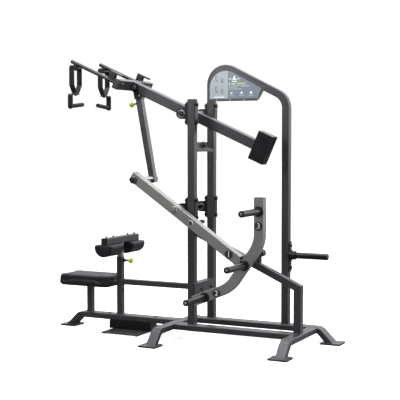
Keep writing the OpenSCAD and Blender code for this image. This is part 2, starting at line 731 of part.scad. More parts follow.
// pivot shaft with its spacer tube, link pin with its collars, and the rod behind the upright
module lower_shaft() color(steel_color) placed() union() {
  rod_y(lever_pivot, lever_y - 4, 205, shaft_r);
  rod_y(lever_pivot, lever_y - 6, lever_y - 0.05, 24);
  difference() {
    rod_y(lever_pivot, lever_y + lever_width + 0.05, -upright_y - 26, 26);
    rod_y(lever_pivot, -400, 0, 17);
  }
  rod_y(link_foot, lever_y - 8, 46, pin_r);
  rod_y(link_foot, lever_y - 14, lever_y - 0.05, 30);
  rod_y(link_foot, lever_y + lever_width + 0.05, -33, 20);
  rod_y(link_foot, 33, 45, 24);
  rod_y(rest_rod, lever_y - 4, -100, rest_rod_r);
}

// ---------- hangers and handles, measured from the hanger pin ----------
hang_pin_r = 8;
hang_x = arm_pivot[0] + hang_at[0]*cos(arm_slope) + hang_at[1]*sin(arm_slope);
hang_z = arm_pivot[1] - hang_at[0]*sin(arm_slope) + hang_at[1]*cos(arm_slope);
cheek_y = 57;
strap_t = 10;
strap_half = 22;
strap_y = 79; // centre of the upright part of the strap
strap_bend = 12; // inner bend radius
strap_bend_y = strap_y - strap_t/2 - strap_bend;
grip_z = -312;
grip_tilt = 5.5;

module at_hanger(side) { translate([hang_x, side*bar_y, hang_z]) children(); }
// inner end of the grip raised a little
module in_grip(side) {
  translate([0, side*strap_y, grip_z]) rotate([-side*grip_tilt, 0, 0]) children();
}
module hanger(side) at_hanger(side) difference() {
  union() {
    for (j = sides) {
      cheek(j*cheek_y, 23, 46, 142);
      translate([0, j*cheek_y, -138]) rotate([-j*32, 0, 0]) box(-22.9, 22.9, -3.9, 3.9, -64, 3);
    }
    box(-20, 20, -28, 28, -200, -189);
    rod_z([0, 0], -206, -199.9, 30);
    rod_y([0, 0], -66, 66, hang_pin_r);
    for (j = sides) rod_y([0, 0], j*61, j*66, 14);
  }
  rod_z([0, 0], -260, -150, 8.06);
  rod_z([0, 0], -189, -177, 13.5);
}
// bent flat strap with a swivel stud and a grip rod; the strap stands outboard
module handle(side) at_hanger(side) union() {
  box(-strap_half, strap_half, -side*22, side*strap_bend_y, -218, -208);
  translate([0, side*strap_bend_y, -218 - strap_bend]) rotate([0, 90, 0])
    rotate([0, 0, side > 0 ? 90 : 180]) translate([0, 0, -strap_half])
      rotate_extrude(angle = 90) translate([strap_bend, 0]) square([strap_t, 2*strap_half]);
  box(-strap_half, strap_half, side*(strap_y - strap_t/2), side*(strap_y + strap_t/2),
      grip_z, -229.9);
  translate([0, side*strap_y, grip_z]) rotate([90, 0, 0])
    cylinder(h = strap_t, r = strap_half, center = true);
  rod_z([0, 0], -209, -181, 8);
  hex_z([0, 0], -188.8, -180, 20);
  hex_z([0, 0], -226, -217.9, 20);
  in_grip(side) {
    rod_y([0, 0], -side*189, side*10.5, 9);
    rod_y([0, 0], -side*189, -side*185.2, 13);
  }
}
module grip(side) at_hanger(side) in_grip(side) difference() {
  rod_y([0, 0], -side*185, -side*7.5, 17);
  rod_y([0, 0], -200, 200, 9.1);
}
module near_hanger() color([0.1, 0.1, 0.11]) placed() hanger(-1);
module near_handle() color(bolt_color) placed() handle(-1);
module near_grip() color(cap_color) placed() grip(-1);
module far_hanger() color([0.1, 0.1, 0.11]) placed() hanger(1);
module far_handle() color(bolt_color) placed() handle(1);
module far_grip() color(cap_color) placed() grip(1);

near_base_tube();
far_base_tube();
front_crossbar();
rear_crossbar();
seat_beam();
near_upright();
arch_frame();
rear_brace();
stop_plate();
lower_cross_plate();
mid_beam();
bearing_plates();
bearing_housings();
bearing_inserts();
bearing_bolts();
end_caps();
sign_board();
sign_face();
sign_rivets();
storage_bracket();
storage_horn();
frame_bolts();
rubber_bumpers();
seat_post();
seat_board();
seat_pad();
thigh_column();
foot_box();
foot_tread();
thigh_slider();
thigh_crossbar();
thigh_caps();
thigh_pads();
thigh_bolts();
thigh_pin();
thigh_knob();
upper_arm();
arm_caps();
counterweight();
handle_bars();
bar_brackets();
hanger_bosses();
upper_shaft();
link_tube();
link_head();
link_knob();
lever_tube();
weight_carrier();
weight_horns();
horn_flanges();
lever_caps();
number_discs();
lower_shaft();
near_hanger();
near_handle();
near_grip();
far_hanger();
far_handle();
far_grip();
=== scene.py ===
"""Plate-loaded lat pulldown machine.

The CAD frame is loaded as it is. Cushions, printed sign, tread, grips, knobs, welds and digits
are modelled here on top of it, and every part gets its material.

The machine's length runs along X, with the seat towards -X. Its near side, with the lever, the
sign face and the number discs, faces -Y. Z is up and the floor is at z = 0.
"""
import json
import math
import random
from functools import cached_property

import bmesh
import bpy
from mathutils import Matrix, Vector
from mathutils.bvhtree import BVHTree
from mathutils.kdtree import KDTree


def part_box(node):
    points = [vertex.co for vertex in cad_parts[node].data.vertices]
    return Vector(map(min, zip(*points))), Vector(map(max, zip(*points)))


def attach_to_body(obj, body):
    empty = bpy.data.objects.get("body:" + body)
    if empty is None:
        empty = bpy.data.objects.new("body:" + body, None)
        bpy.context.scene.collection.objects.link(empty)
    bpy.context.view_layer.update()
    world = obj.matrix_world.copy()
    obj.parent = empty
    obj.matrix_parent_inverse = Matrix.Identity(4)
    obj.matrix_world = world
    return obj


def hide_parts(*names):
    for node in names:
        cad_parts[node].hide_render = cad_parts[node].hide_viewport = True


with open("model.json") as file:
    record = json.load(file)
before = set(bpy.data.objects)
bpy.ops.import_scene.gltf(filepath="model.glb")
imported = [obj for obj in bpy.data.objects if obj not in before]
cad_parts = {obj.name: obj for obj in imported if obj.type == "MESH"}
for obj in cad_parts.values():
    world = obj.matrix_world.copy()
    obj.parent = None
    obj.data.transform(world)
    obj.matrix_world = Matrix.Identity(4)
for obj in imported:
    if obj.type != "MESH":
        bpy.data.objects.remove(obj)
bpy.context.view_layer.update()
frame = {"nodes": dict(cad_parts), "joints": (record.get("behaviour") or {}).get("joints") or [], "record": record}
PARTS = frame["nodes"]
random.seed(7)

X_AXIS = Vector((1, 0, 0))
Y_AXIS = Vector((0, 1, 0))
Z_AXIS = Vector((0, 0, 1))


# ------------------------------------------------------------------ places
def corners(part):
    """Low and high corner of a CAD part's box."""
    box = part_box(part)
    return box[0], box[1]


def middle(low, high):
    return [(a + b) / 2 for a, b in zip(low, high)]


# Shared places in mm, measured from the floor point midway between the uprights.
UPRIGHT_Y = 176  # the uprights stand at -y (near) and +y (far)
SEAT_POST_X = -1054
LEVER_PIVOT = (-90, 1042)  # x, z
STOP_ROD = (57, 940)  # x, z

near_upright = middle(*corners("near_upright"))
ORIGIN_X = near_upright[0]
ORIGIN_Y = near_upright[1] + UPRIGHT_Y / 1000


def at(x, y, z):
    """World point of a place in mm from the floor point between the uprights."""
    return Vector((ORIGIN_X + x / 1000, ORIGIN_Y + y / 1000, z / 1000))


def at_depth(x, z, world_y):
    """World point with x and z in mm as for at(), and y in world metres."""
    point = at(x, 0, z)
    point.y = world_y
    return point


# ------------------------------------------------------------------ shader building
class Shader:
    """Short ways to add nodes to a node tree; inputs take a value or an output socket."""

    def __init__(self, tree):
        self.tree = tree

    def plug(self, socket, value):
        if isinstance(value, bpy.types.NodeSocket):
            self.tree.links.new(value, socket)
            return
        if socket.type == "RGBA" and len(value) == 3:
            value = (*value, 1)
        socket.default_value = value

    def node(self, kind, inputs=None, **properties):
        new = self.tree.nodes.new("ShaderNode" + kind)
        for key, value in properties.items():
            setattr(new, key, value)
        for key, value in (inputs or {}).items():
            self.plug(new.inputs[key], value)
        return new

    @cached_property
    def position(self):
        return self.node("NewGeometry").outputs["Position"]

    def noise(self, scale, detail, rough, vector=None):
        inputs = {"Scale": scale, "Detail": detail, "Roughness": rough,
                  "Vector": vector or self.position}
        return self.node("TexNoise", inputs).outputs["Fac"]

    def ramp(self, factor, first, second, start=0.3, end=0.7):
        """Blend from the first to the second colour between two stops."""
        ramp = self.node("ValToRGB", {"Fac": factor})
        stops = ((start, first), (end, second))
        for element, (place, colour) in zip(ramp.color_ramp.elements, stops):
            element.position = place
            element.color = (*colour, 1)
        return ramp.outputs["Color"]

    def remap(self, value, to_low, to_high, from_low=0.3, from_high=0.7):
        inputs = {"From Min": from_low, "From Max": from_high,
                  "To Min": to_low, "To Max": to_high, "Value": value}
        return self.node("MapRange", inputs).outputs["Result"]

    def mix(self, factor, first, second):
        inputs = {0: factor, 6: first, 7: second}  # 6 and 7 are the colour inputs
        return self.node("Mix", inputs, data_type="RGBA").outputs[2]

    def math(self, operation, first, second):
        return self.node("Math", {0: first, 1: second}, operation=operation).outputs[0]

    def bevel_normal(self, radius):
        """Normal rounded along sharp edges."""
        return self.node("Bevel", {"Radius": radius}, samples=4).outputs["Normal"]

    def edge_mask(self, rounded, gain=6.0):
        """1 along sharp edges, 0 on flats: how far the rounded normal leaves the true one."""
        true_normal = self.node("NewGeometry").outputs["Normal"]
        dot = self.node("VectorMath", {0: rounded, 1: true_normal}, operation="DOT_PRODUCT")
        return self.remap(dot.outputs["Value"], 0.0, 1.0, from_low=1.0, from_high=1.0 - 1.0 / gain)

    def surface(self, inputs):
        """Set inputs of the Principled node."""
        principled = self.tree.nodes["Principled BSDF"]
        for key, value in inputs.items():
            self.plug(principled.inputs[key], value)

    def bump(self, height, strength, distance, normal=None):
        inputs = {"Strength": strength, "Distance": distance, "Height": height}
        if normal:
            inputs["Normal"] = normal
        self.surface({"Normal": self.node("Bump", inputs).outputs["Normal"]})


def new_material(name):
    material = bpy.data.materials.new(name)
    material.use_nodes = True
    return material, Shader(material.node_tree)


def shade(colour, factor):
    return tuple(min(1, c * factor) for c in colour)


# ------------------------------------------------------------------ kinds of material
def paint(name, colour, metallic, rough, wear=0.3, edge=(0.30, 0.30, 0.31), flake=0.22,
          coat=0.15, peel=0.05, specular=0.5):
    """Powder coat: metallic flakes, slow shade drift, orange peel, rubbed edges, smudges."""
    material, sh = new_material(name)
    light = tuple(min(1, c * (1 + flake) + 0.002) for c in colour)
    flakes = sh.noise(scale=1400, detail=2, rough=0.6)
    base = sh.ramp(flakes, shade(colour, 1 - flake), light, start=0.35, end=0.65)
    drift = sh.remap(sh.noise(scale=5, detail=4, rough=0.6), 0.0, 0.35)
    base = sh.mix(drift, base, shade(colour, 0.78))
    rounded = sh.bevel_normal(0.002)
    patches = sh.remap(sh.noise(scale=60, detail=5, rough=0.7), 0.1, wear, from_low=0.42)
    rubbed = sh.math("MULTIPLY", sh.edge_mask(rounded), patches)
    smudges = sh.noise(scale=14, detail=5, rough=0.65)
    sh.surface({
        "Base Color": sh.mix(rubbed, base, edge),
        "Metallic": metallic,
        "Roughness": sh.remap(smudges, rough - 0.06, rough + 0.09),
        "Specular IOR Level": specular,
        "Coat Weight": coat,
        "Coat Roughness": 0.25,
    })
    sh.bump(sh.noise(scale=420, detail=3, rough=0.5), peel, distance=0.0006, normal=rounded)
    return material


def plastic(name, colour, rough, grain, scale=900, specular=0.5, variation=0.15):
    """Moulded plastic or rubber: grain is the bump's strength and scale its fineness."""
    material, sh = new_material(name)
    mottle = sh.noise(scale=24, detail=4, rough=0.6)
    gloss = sh.noise(scale=40, detail=4, rough=0.6)
    sh.surface({
        "Base Color": sh.ramp(mottle, shade(colour, 1 - variation), shade(colour, 1 + variation)),
        "Roughness": sh.remap(gloss, rough - 0.06, rough + 0.1),
        "Specular IOR Level": specular,
    })
    sh.bump(sh.noise(scale=scale, detail=3, rough=0.6), grain, distance=0.0008,
            normal=sh.bevel_normal(0.0012))
    return material


def vinyl(name, colour):
    """Upholstery vinyl: pebbled leather grain with fine creases, a soft sheen and painted shade in the hollows of
    the grain.
    """
    material, sh = new_material(name)
    cells = sh.node("TexVoronoi", {"Scale": 520, "Vector": sh.position},
                    feature="DISTANCE_TO_EDGE")
    pebble = sh.remap(cells.outputs["Distance"], 0.0, 1.0, from_low=0.0, from_high=0.22)
    fine = sh.remap(sh.noise(scale=1500, detail=3, rough=0.6), 0.0, 0.35)
    creases = sh.remap(sh.noise(scale=38, detail=6, rough=0.7), 0.0, 0.8,
                       from_low=0.35, from_high=0.65)
    slow = sh.noise(scale=9, detail=4, rough=0.6)
    base = sh.ramp(slow, shade(colour, 0.75), shade(colour, 1.3))
    # painted shade: the base colour is darkened in the hollows between the pebbles, where shade falls
    painted_shade_between_pebbles = sh.remap(pebble, 0.35, 0.0, from_low=0, from_high=1)
    sh.surface({
        "Base Color": sh.mix(painted_shade_between_pebbles, base, shade(colour, 0.4)),
        "Roughness": sh.remap(sh.noise(scale=16, detail=5, rough=0.6), 0.42, 0.58),
        "Specular IOR Level": 0.30,
        "Sheen Weight": 0.02,
        "Coat Weight": 0.05,
        "Coat Roughness": 0.3,
    })
    height = sh.math("ADD", sh.math("ADD", pebble, fine), creases)
    sh.bump(height, strength=0.22, distance=0.0007)
    return material


def stretched_noise(sh, stretch, scale, detail, rough):
    """Noise scaled unevenly along the three axes, which draws lines."""
    mapping = sh.node("Mapping", {"Scale": stretch, "Vector": sh.position})
    return sh.noise(scale, detail, rough, vector=mapping.outputs["Vector"])


def steel(name, colour, rough=0.28):
    """Turned or brushed steel with fine lines across Y."""
    material, sh = new_material(name)
    lines = stretched_noise(sh, stretch=(6, 260, 6), scale=6, detail=4, rough=0.7)
    sh.surface({
        "Base Color": sh.ramp(lines, shade(colour, 0.82), shade(colour, 1.12)),
        "Metallic": 0.9,
        "Roughness": sh.remap(lines, rough - 0.07, rough + 0.12),
    })
    sh.bump(lines, strength=0.08, distance=0.0004, normal=sh.bevel_normal(0.001))
    return material


def shaft_steel(name, colour, cut_x, dark):
    """Steel that turns dark beyond cut_x, in the part's own coordinates."""
    material = steel(name, colour)
    sh = Shader(material.node_tree)
    base_input = sh.tree.nodes["Principled BSDF"].inputs["Base Color"]
    bright = base_input.links[0].from_socket
    place = sh.node("SeparateXYZ", {0: sh.node("TexCoord").outputs["Object"]})
    beyond = sh.remap(place.outputs["X"], 0.0, 1.0,
                      from_low=cut_x - 0.001, from_high=cut_x + 0.001)
    sh.plug(base_input, sh.mix(beyond, bright, dark))
    return material


def wood(name, colour):
    """Wood with its grain along X."""
    material, sh = new_material(name)
    grain = stretched_noise(sh, stretch=(3, 30, 30), scale=5, detail=5, rough=0.65)
    sh.surface({"Base Color": sh.ramp(grain, shade(colour, 0.6), colour), "Roughness": 0.7})
    sh.bump(grain, strength=0.2, distance=0.0006)
    return material


def printed(name, colour):
    """Printed sheet: faint shade variation and uneven gloss under a clear film."""
    material, sh = new_material(name)
    mottle = sh.noise(scale=30, detail=4, rough=0.6)
    scratches = sh.noise(scale=70, detail=5, rough=0.7)
    sh.surface({
        "Base Color": sh.ramp(mottle, shade(colour, 0.94), shade(colour, 1.06)),
        "Roughness": sh.remap(scratches, 0.25, 0.42, from_low=0.35, from_high=0.65),
        "Coat Weight": 0.3,
        "Coat Roughness": 0.15,
    })
    sh.bump(sh.noise(scale=200, detail=4, rough=0.6), strength=0.04, distance=0.0004)
    return material


# ------------------------------------------------------------------ materials
# Material slot: kind of material and its settings.
SLOT_LOOKS = {
    "frame_paint": (paint, dict(
        colour=(0.050, 0.050, 0.056), metallic=0.45, rough=0.38,
        edge=(0.22, 0.22, 0.23), coat=0.1)),
    "lever_paint": (paint, dict(
        colour=(0.245, 0.240, 0.230), metallic=0.40, rough=0.36, edge=(0.45, 0.45, 0.44))),
    "black_steel": (paint, dict(
        colour=(0.007, 0.007, 0.009), metallic=0.25, rough=0.34,
        edge=(0.12, 0.12, 0.12), specular=0.28)),
    "link_paint": (paint, dict(
        colour=(0.062, 0.064, 0.070), metallic=0.45, rough=0.30, edge=(0.28, 0.28, 0.29))),
    "steel": (steel, dict(colour=(0.30, 0.30, 0.31))),
    "bolt_steel": (paint, dict(
        colour=(0.035, 0.035, 0.038), metallic=0.7, rough=0.32, wear=0.8,
        edge=(0.35, 0.35, 0.36), coat=0.0)),
    "black_plastic": (plastic, dict(
        colour=(0.008, 0.008, 0.009), rough=0.36, grain=0.15, scale=700)),
    "black_rubber": (plastic, dict(
        colour=(0.018, 0.019, 0.020), rough=0.55, grain=0.2, scale=500, specular=0.4)),
    "gloss_black": (paint, dict(
        colour=(0.008, 0.008, 0.009), metallic=0.1, rough=0.16, flake=0.1, wear=0.1,
        edge=(0.05, 0.05, 0.05), coat=0.0, peel=0.02, specular=0.4)),
    "vinyl": (vinyl, dict(colour=(0.0040, 0.0048, 0.0080))),
    "plywood": (wood, dict(colour=(0.05, 0.04, 0.03))),
    "sign_sheet": (paint, dict(colour=(0.060, 0.060, 0.066), metallic=0.3, rough=0.42)),
    "sign_print": (printed, dict(colour=(0.17, 0.205, 0.25))),
    "rivet": (steel, dict(colour=(0.5, 0.5, 0.52), rough=0.3)),
    "lime_plastic": (plastic, dict(
        colour=(0.46, 0.60, 0.030), rough=0.28, grain=0.05, scale=300, variation=0.08)),
    "disc_paint": (paint, dict(
        colour=(0.030, 0.030, 0.033), metallic=0.2, rough=0.35, wear=0.2)),
    "thigh_tube": (paint, dict(
        colour=(0.20, 0.21, 0.23), metallic=0.5, rough=0.35, edge=(0.45, 0.45, 0.46))),
    "grip_rubber": (plastic, dict(
        colour=(0.014, 0.014, 0.0145), rough=0.6, grain=0.3, scale=650, specular=0.35)),
}
PRINT_COLOURS = {
    "light": (0.36, 0.39, 0.43),
    "white": (0.80, 0.84, 0.88),
    "lime": (0.42, 0.55, 0.20),
    "green": (0.40, 0.50, 0.30),
    "grey": (0.42, 0.46, 0.52),
    "dark": (0.16, 0.18, 0.21),
}


def shade_smooth(mesh, sharp_angle):
    for polygon in mesh.polygons:
        polygon.use_smooth = True
    mesh.set_sharp_from_angle(angle=math.radians(sharp_angle))


def dress_cad_parts():
    """Give each CAD part the material of its slot."""
    slot_of = {part["node"]: part["material_slot"] for part in frame["record"]["subparts"]}
    for name, part in PARTS.items():
        material = MATERIALS[slot_of[name]]
        if not part.data.materials:
            part.data.materials.append(material)
        for slot in part.material_slots:
            slot.material = material
        shade_smooth(part.data, sharp_angle=32)


MATERIALS = {name: kind(name, **look) for name, (kind, look) in SLOT_LOOKS.items()}
dress_cad_parts()
PARTS["lower_shaft"].material_slots[0].material = shaft_steel(
    "shaft_steel", colour=(0.42, 0.42, 0.43), cut_x=ORIGIN_X - 0.25, dark=(0.012, 0.012, 0.013))

PRINTS = {name: printed("print_" + name, colour) for name, colour in PRINT_COLOURS.items()}
DIGIT_WHITE = plastic("digit_white", (0.78, 0.79, 0.80), rough=0.4, grain=0.05)
THREAD = plastic("thread", (0.03, 0.032, 0.036), rough=0.6, grain=0.4, scale=1500)
WELD_FRAME = paint("weld_frame", (0.070, 0.070, 0.076), metallic=0.45, rough=0.36, wear=0.5)
# lever weld rings: colour much lighter than the lever paint, a painted highlight standing in for the light
# crescent on the beads
LEVER_WELD_PAINTED_HIGHLIGHT = paint("weld_lever_painted_highlight", (0.42, 0.42, 0.41), metallic=0.45, rough=0.33, wear=0.6,
                   edge=(0.6, 0.6, 0.6))
TREAD_STEEL = paint("tread_steel", (0.022, 0.022, 0.024), metallic=0.3, rough=0.42, wear=0.9,
                    edge=(0.10, 0.10, 0.10))


# ------------------------------------------------------------------ outlines and paths
def turns(count):
    return [2 * math.pi * i / count for i in range(count)]


def circle(centre, u, v, radius, count):
    """Points round a circle in the plane of the unit vectors u and v."""
    return [centre + (u * math.cos(a) + v * math.sin(a)) * radius for a in turns(count)]


def arc(x, y, radius, start, sweep, steps):
    angles = [start + sweep * i / steps for i in range(steps + 1)]
    return [(x + radius * math.cos(a), y + radius * math.sin(a)) for a in angles]


def rounded_rect(width, height, radius, corner_steps):
    """Outline round the origin, anticlockwise."""
    right, top = width / 2 - radius, height / 2 - radius
    outline = []
    for x, y, start in ((right, top, 0), (-right, top, 90), (-right, -top, 180), (right, -top, 270)):
        outline += arc(x, y, radius, math.radians(start), math.pi / 2, corner_steps)
    return outline


def resample(points, step, closed=True):
    """Split each span of a path into equal parts of about one step."""
    count = len(points)
    result = []
    for i in range(count if closed else count - 1):
        a, b = points[i], points[(i + 1) % count]
        parts = max(1, int(round((b - a).length / step)))
        result += [a.lerp(b, j / parts) for j in range(parts)]
    if not closed:
        result.append(points[-1])
    return result


def perpendicular(direction):
    """A unit vector square to the given one."""
    return direction.cross(Z_AXIS if abs(direction.z) < 0.9 else X_AXIS).normalized()


# ------------------------------------------------------------------ objects
def new_mesh(name, verts, faces):
    mesh = bpy.data.meshes.new(name)
    mesh.from_pydata(verts, [], faces)
    bm = bmesh.new()
    bm.from_mesh(mesh)
    bmesh.ops.recalc_face_normals(bm, faces=bm.faces)
    bm.to_mesh(mesh)
    bm.free()
    return mesh


def place(name, mesh):
    obj = bpy.data.objects.new(name, mesh)
    bpy.context.scene.collection.objects.link(obj)
    return obj


def attach(obj, body, slot, material=None, replaces=None):
    obj.data.materials.append(material or MATERIALS[slot])
    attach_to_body(obj, body)
    if replaces:
        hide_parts(replaces)


class Solid:
    """Collects closed pieces into one mesh."""

    def __init__(self):
        self.verts = []
        self.faces = []

    def loft(self, rings, closed=False):
        """Join rings of points with quads; open lofts get an end cap at each end."""
        sides, last = len(rings[0]), len(rings) - 1
        faces = []
        twist = 0  # how far the last ring has turned against the first
        if closed:
            start = rings[0][0]
            twist = min(range(sides), key=lambda s: (rings[-1][s] - start).length)
        for i in range(last + 1 if closed else last):
            this, following = i * sides, (i + 1) % (last + 1) * sides
            shift = twist if i == last else 0
            for j in range(sides):
                faces.append((this + j, this + (j + 1) % sides,
                              following + (j + 1 - shift) % sides,
                              following + (j - shift) % sides))
        if not closed:
            faces.append(range(sides)[::-1])
            faces.append(range(last * sides, (last + 1) * sides))
        base = len(self.verts)
        self.verts += [tuple(point) for ring in rings for point in ring]
        self.faces += [tuple(base + k for k in face) for face in faces]

    def tube(self, points, radius, closed=False, sides=8, swell=None):
        """Round tube along a path; swell(i) scales the radius at point i."""
        count = len(points)
        rings = []
        normal = None
        for i, point in enumerate(points):
            if closed:
                along = (points[(i + 1) % count] - points[i - 1]).normalized()
            else:
                along = (points[min(i + 1, count - 1)] - points[max(i - 1, 0)]).normalized()
            if normal is None:
                normal = perpendicular(along)
            else:
                normal = (normal - along * normal.dot(along)).normalized()
            size = radius * (swell(i) if swell else 1)
            rings.append(circle(point, normal, along.cross(normal), size, sides))
        self.loft(rings, closed)

    def lathe(self, origin, axis, profile, sides=48, ripple=None):
        """Turn (distance along axis, radius) pairs; ripple(distance, angle) scales the radius."""
        u = perpendicular(axis)
        v = axis.cross(u)
        rings = []
        for along, radius in profile:
            centre = origin + axis * along
            rings.append([
                centre + (u * math.cos(a) + v * math.sin(a)) * radius
                * (ripple(along, a) if ripple else 1) for a in turns(sides)])
        self.loft(rings)

    def prism(self, outline, y_near, y_far):
        """Outline of (x, z) in mm, extruded between two world depths."""
        self.loft([[at_depth(x, z, y) for x, z in outline] for y in (y_near, y_far)])

    def weld(self, points, radius=0.0032, closed=True):
        """A bead of overlapping ripples along a line."""
        path = resample(points, 0.0022, closed)
        phase = random.random() * 6
        self.tube(path, radius, closed, sides=7, swell=lambda i: (
            1 + 0.16 * math.sin(i * 1.9 + phase) + 0.08 * math.sin(i * 0.37 + phase)))

    def place(self, name):
        return place(name, new_mesh(name, self.verts, self.faces))

    def make(self, name, body, slot, material=None, replaces=None, smooth=True):
        obj = self.place(name)
        if smooth:
            shade_smooth(obj.data, sharp_angle=35)
        attach(obj, body, slot, material, replaces)


# ------------------------------------------------------------------ cushion making
CLOTH_SETTINGS = dict(
    use_pressure=True, uniform_pressure_force=4.0, vertex_group_mass="pin", quality=5, mass=0.3,
    tension_stiffness=15, compression_stiffness=15, shear_stiffness=5, bending_stiffness=0.5)
CLOTH_FRAMES = 20


def apply_modifier(obj, modifier):
    bpy.context.view_layer.objects.active = obj
    for other in bpy.context.selected_objects:
        other.select_set(False)
    obj.select_set(True)
    bpy.ops.object.modifier_apply(modifier=modifier.name)


def modify(obj, kind, **settings):
    """Add a modifier and apply it at once."""
    modifier = obj.modifiers.new(kind.lower(), kind)
    for key, value in settings.items():
        setattr(modifier, key, value)
    apply_modifier(obj, modifier)


def inflate(obj, is_pinned):
    """Blow the shape up as cloth, holding the pinned vertices."""
    pins = obj.vertex_groups.new(name="pin")
    pins.add([v.index for v in obj.data.vertices if is_pinned(v.co)], 1.0, "REPLACE")
    cloth = obj.modifiers.new("cloth", "CLOTH")
    for key, value in CLOTH_SETTINGS.items():
        setattr(cloth.settings, key, value)
    cloth.settings.effector_weights.gravity = 0
    cloth.collision_settings.use_collision = False
    for number in range(1, CLOTH_FRAMES + 1):
        bpy.context.scene.frame_set(number)
    apply_modifier(obj, cloth)
    bpy.context.scene.frame_set(1)
    obj.vertex_groups.clear()


def puff(obj, voxel, is_pinned, max_swell, z_high, z_low=-math.inf):
    """Pad a closed shape: round it, inflate it, and limit how far and how high it swells."""
    modify(obj, "REMESH", mode="VOXEL", voxel_size=voxel)
    modify(obj, "SMOOTH", factor=0.5, iterations=3)
    rest = [v.co.copy() for v in obj.data.vertices]
    inflate(obj, is_pinned)
    for vertex, start in zip(obj.data.vertices, rest):
        move = vertex.co - start
        if move.length > max_swell:
            vertex.co = start + move * (max_swell / move.length)
        vertex.co.z = max(z_low, min(z_high, vertex.co.z))
    modify(obj, "SUBSURF", levels=1, render_levels=1)
    for polygon in obj.data.polygons:
        polygon.use_smooth = True


def surface_path(obj, points, lift):
    """Closed path moved onto the object's surface and lifted along its normal."""
    bm = bmesh.new()
    bm.from_mesh(obj.data)
    tree = BVHTree.FromBMesh(bm)
    path = []
    for point in points:
        spot, normal, _, _ = tree.find_nearest(point)
        path.append(spot + normal * lift)
    bm.free()
    # even out small steps
    count = len(path)
    for _ in range(4):
        path = [(path[i - 1] + path[i] * 2 + path[(i + 1) % count]) / 4 for i in range(count)]
    return path


def groove(obj, path, width, depth):
    """Pull the surface in beside a seam."""
    tree = KDTree(len(path))
    for i, point in enumerate(path):
        tree.insert(point, i)
    tree.balance()
    for vertex in obj.data.vertices:
        distance = tree.find(vertex.co)[2]
        if distance < width:
            vertex.co -= vertex.normal * depth * (1 - distance / width) ** 1.5


def stitch(solid, path, pitch=0.006, length=0.0036, radius=0.00045):
    """Short raised threads along a closed path, thinner at their ends."""
    points = resample(path, pitch)
    for i, point in enumerate(points):
        along = points[(i + 1) % len(points)] - point
        if along.length < 1e-6:
            continue
        along.normalize()
        thread = [point + along * length * part for part in (-0.5, -0.25, 0.25, 0.5)]
        solid.tube(thread, radius, sides=5, swell=lambda k: 0.6 if k in (0, 3) else 1.0)


# ------------------------------------------------------------------ seat
def make_seat():
    """A boxed cushion, its top panel sewn to a side band."""
    low, high = corners("seat_pad")
    centre_x, centre_y, _ = middle(low, high)
    length, width = high[0] - low[0], high[1] - low[1]
    bottom, top = low[2], high[2]
    thick = top - bottom

    def ring(inset, corner, steps, z):
        outline = rounded_rect(length - 2 * inset, width - 2 * inset, corner, steps)
        return [Vector((centre_x + x, centre_y + y, z)) for x, y in outline]

    # inset from the box, height above the bottom
    profile = [(0.0045, 0.0), (0.0002, 0.004), (0.0, 0.030),
               (0.0, thick - 0.014), (0.002, thick - 0.006), (0.008, thick - 0.0015)]
    body = Solid()
    body.loft([ring(inset, 0.042 - inset * 0.5, 10, bottom + h) for inset, h in profile])
    seat = body.place("seat_cushion")
    puff(seat, voxel=0.006, is_pinned=lambda co: co.z < bottom + 0.006, max_swell=0.008,
         z_high=top + 0.003, z_low=bottom)

    seam_ring = resample(ring(0.006, 0.040, 14, top - 0.007), 0.004)
    seam = surface_path(seat, seam_ring, lift=0.0006)
    groove(seat, seam, width=0.007, depth=0.0022)
    lower_ring = resample(ring(0.0, 0.045, 14, bottom + 0.008), 0.004)
    groove(seat, surface_path(seat, lower_ring, lift=0.0), width=0.006, depth=0.0015)
    attach(seat, "frame", "vinyl", replaces="seat_pad")

    welt = Solid()
    welt.tube(seam, 0.0019, closed=True)
    welt.make("seat_welt", "frame", "vinyl")

    stitches = Solid()
    path = surface_path(seat, ring(0.017, 0.032, 14, top - 0.001), lift=0.0003)
    # laid on the surface again, since the first ring has points at its corners only
    path = surface_path(seat, resample(path, 0.006), lift=0.0003)
    stitch(stitches, path)
    stitches.make("seat_stitching", "frame", "vinyl", THREAD)


make_seat()

# ------------------------------------------------------------------ thigh rolls
ROLL_LENGTH = 0.21
ROLL_RADIUS = 0.082
ROLL_EDGE = 0.013  # radius between the flat top and the round
ROLL_DROP = 0.018  # the round's centre below the top
ROLL_WELT = 0.0065  # welt in from each end
# inset of the outline, distance from the roll's end
ROLL_END = [(0.0120, 0.0006), (0.0065, 0.0022), (0.0030, 0.0060), (0.0012, 0.014)]


def roll_outline(inset, centre_x, pad_top):
    """D profile in (x, z): flat top with soft corners, round below."""
    radius = ROLL_RADIUS - inset
    centre_z = pad_top - ROLL_DROP
    top = pad_top - inset * 0.6
    edge_z = top - ROLL_EDGE
    edge_x = math.sqrt((radius - ROLL_EDGE) ** 2 - (edge_z - centre_z) ** 2)
    join = math.atan2(edge_z - centre_z, edge_x)
    bend = join - math.pi / 2
    outline = arc(centre_x + edge_x, edge_z, ROLL_EDGE, math.pi / 2, bend, 6)[:-1]
    outline += arc(centre_x, centre_z, radius, join, -(math.pi + 2 * join), 40)
    outline += arc(centre_x - edge_x, edge_z, ROLL_EDGE, math.pi - join, bend, 6)[1:]
    outline += [(centre_x - edge_x + 2 * edge_x * i / 10, top) for i in range(1, 10)]
    return outline


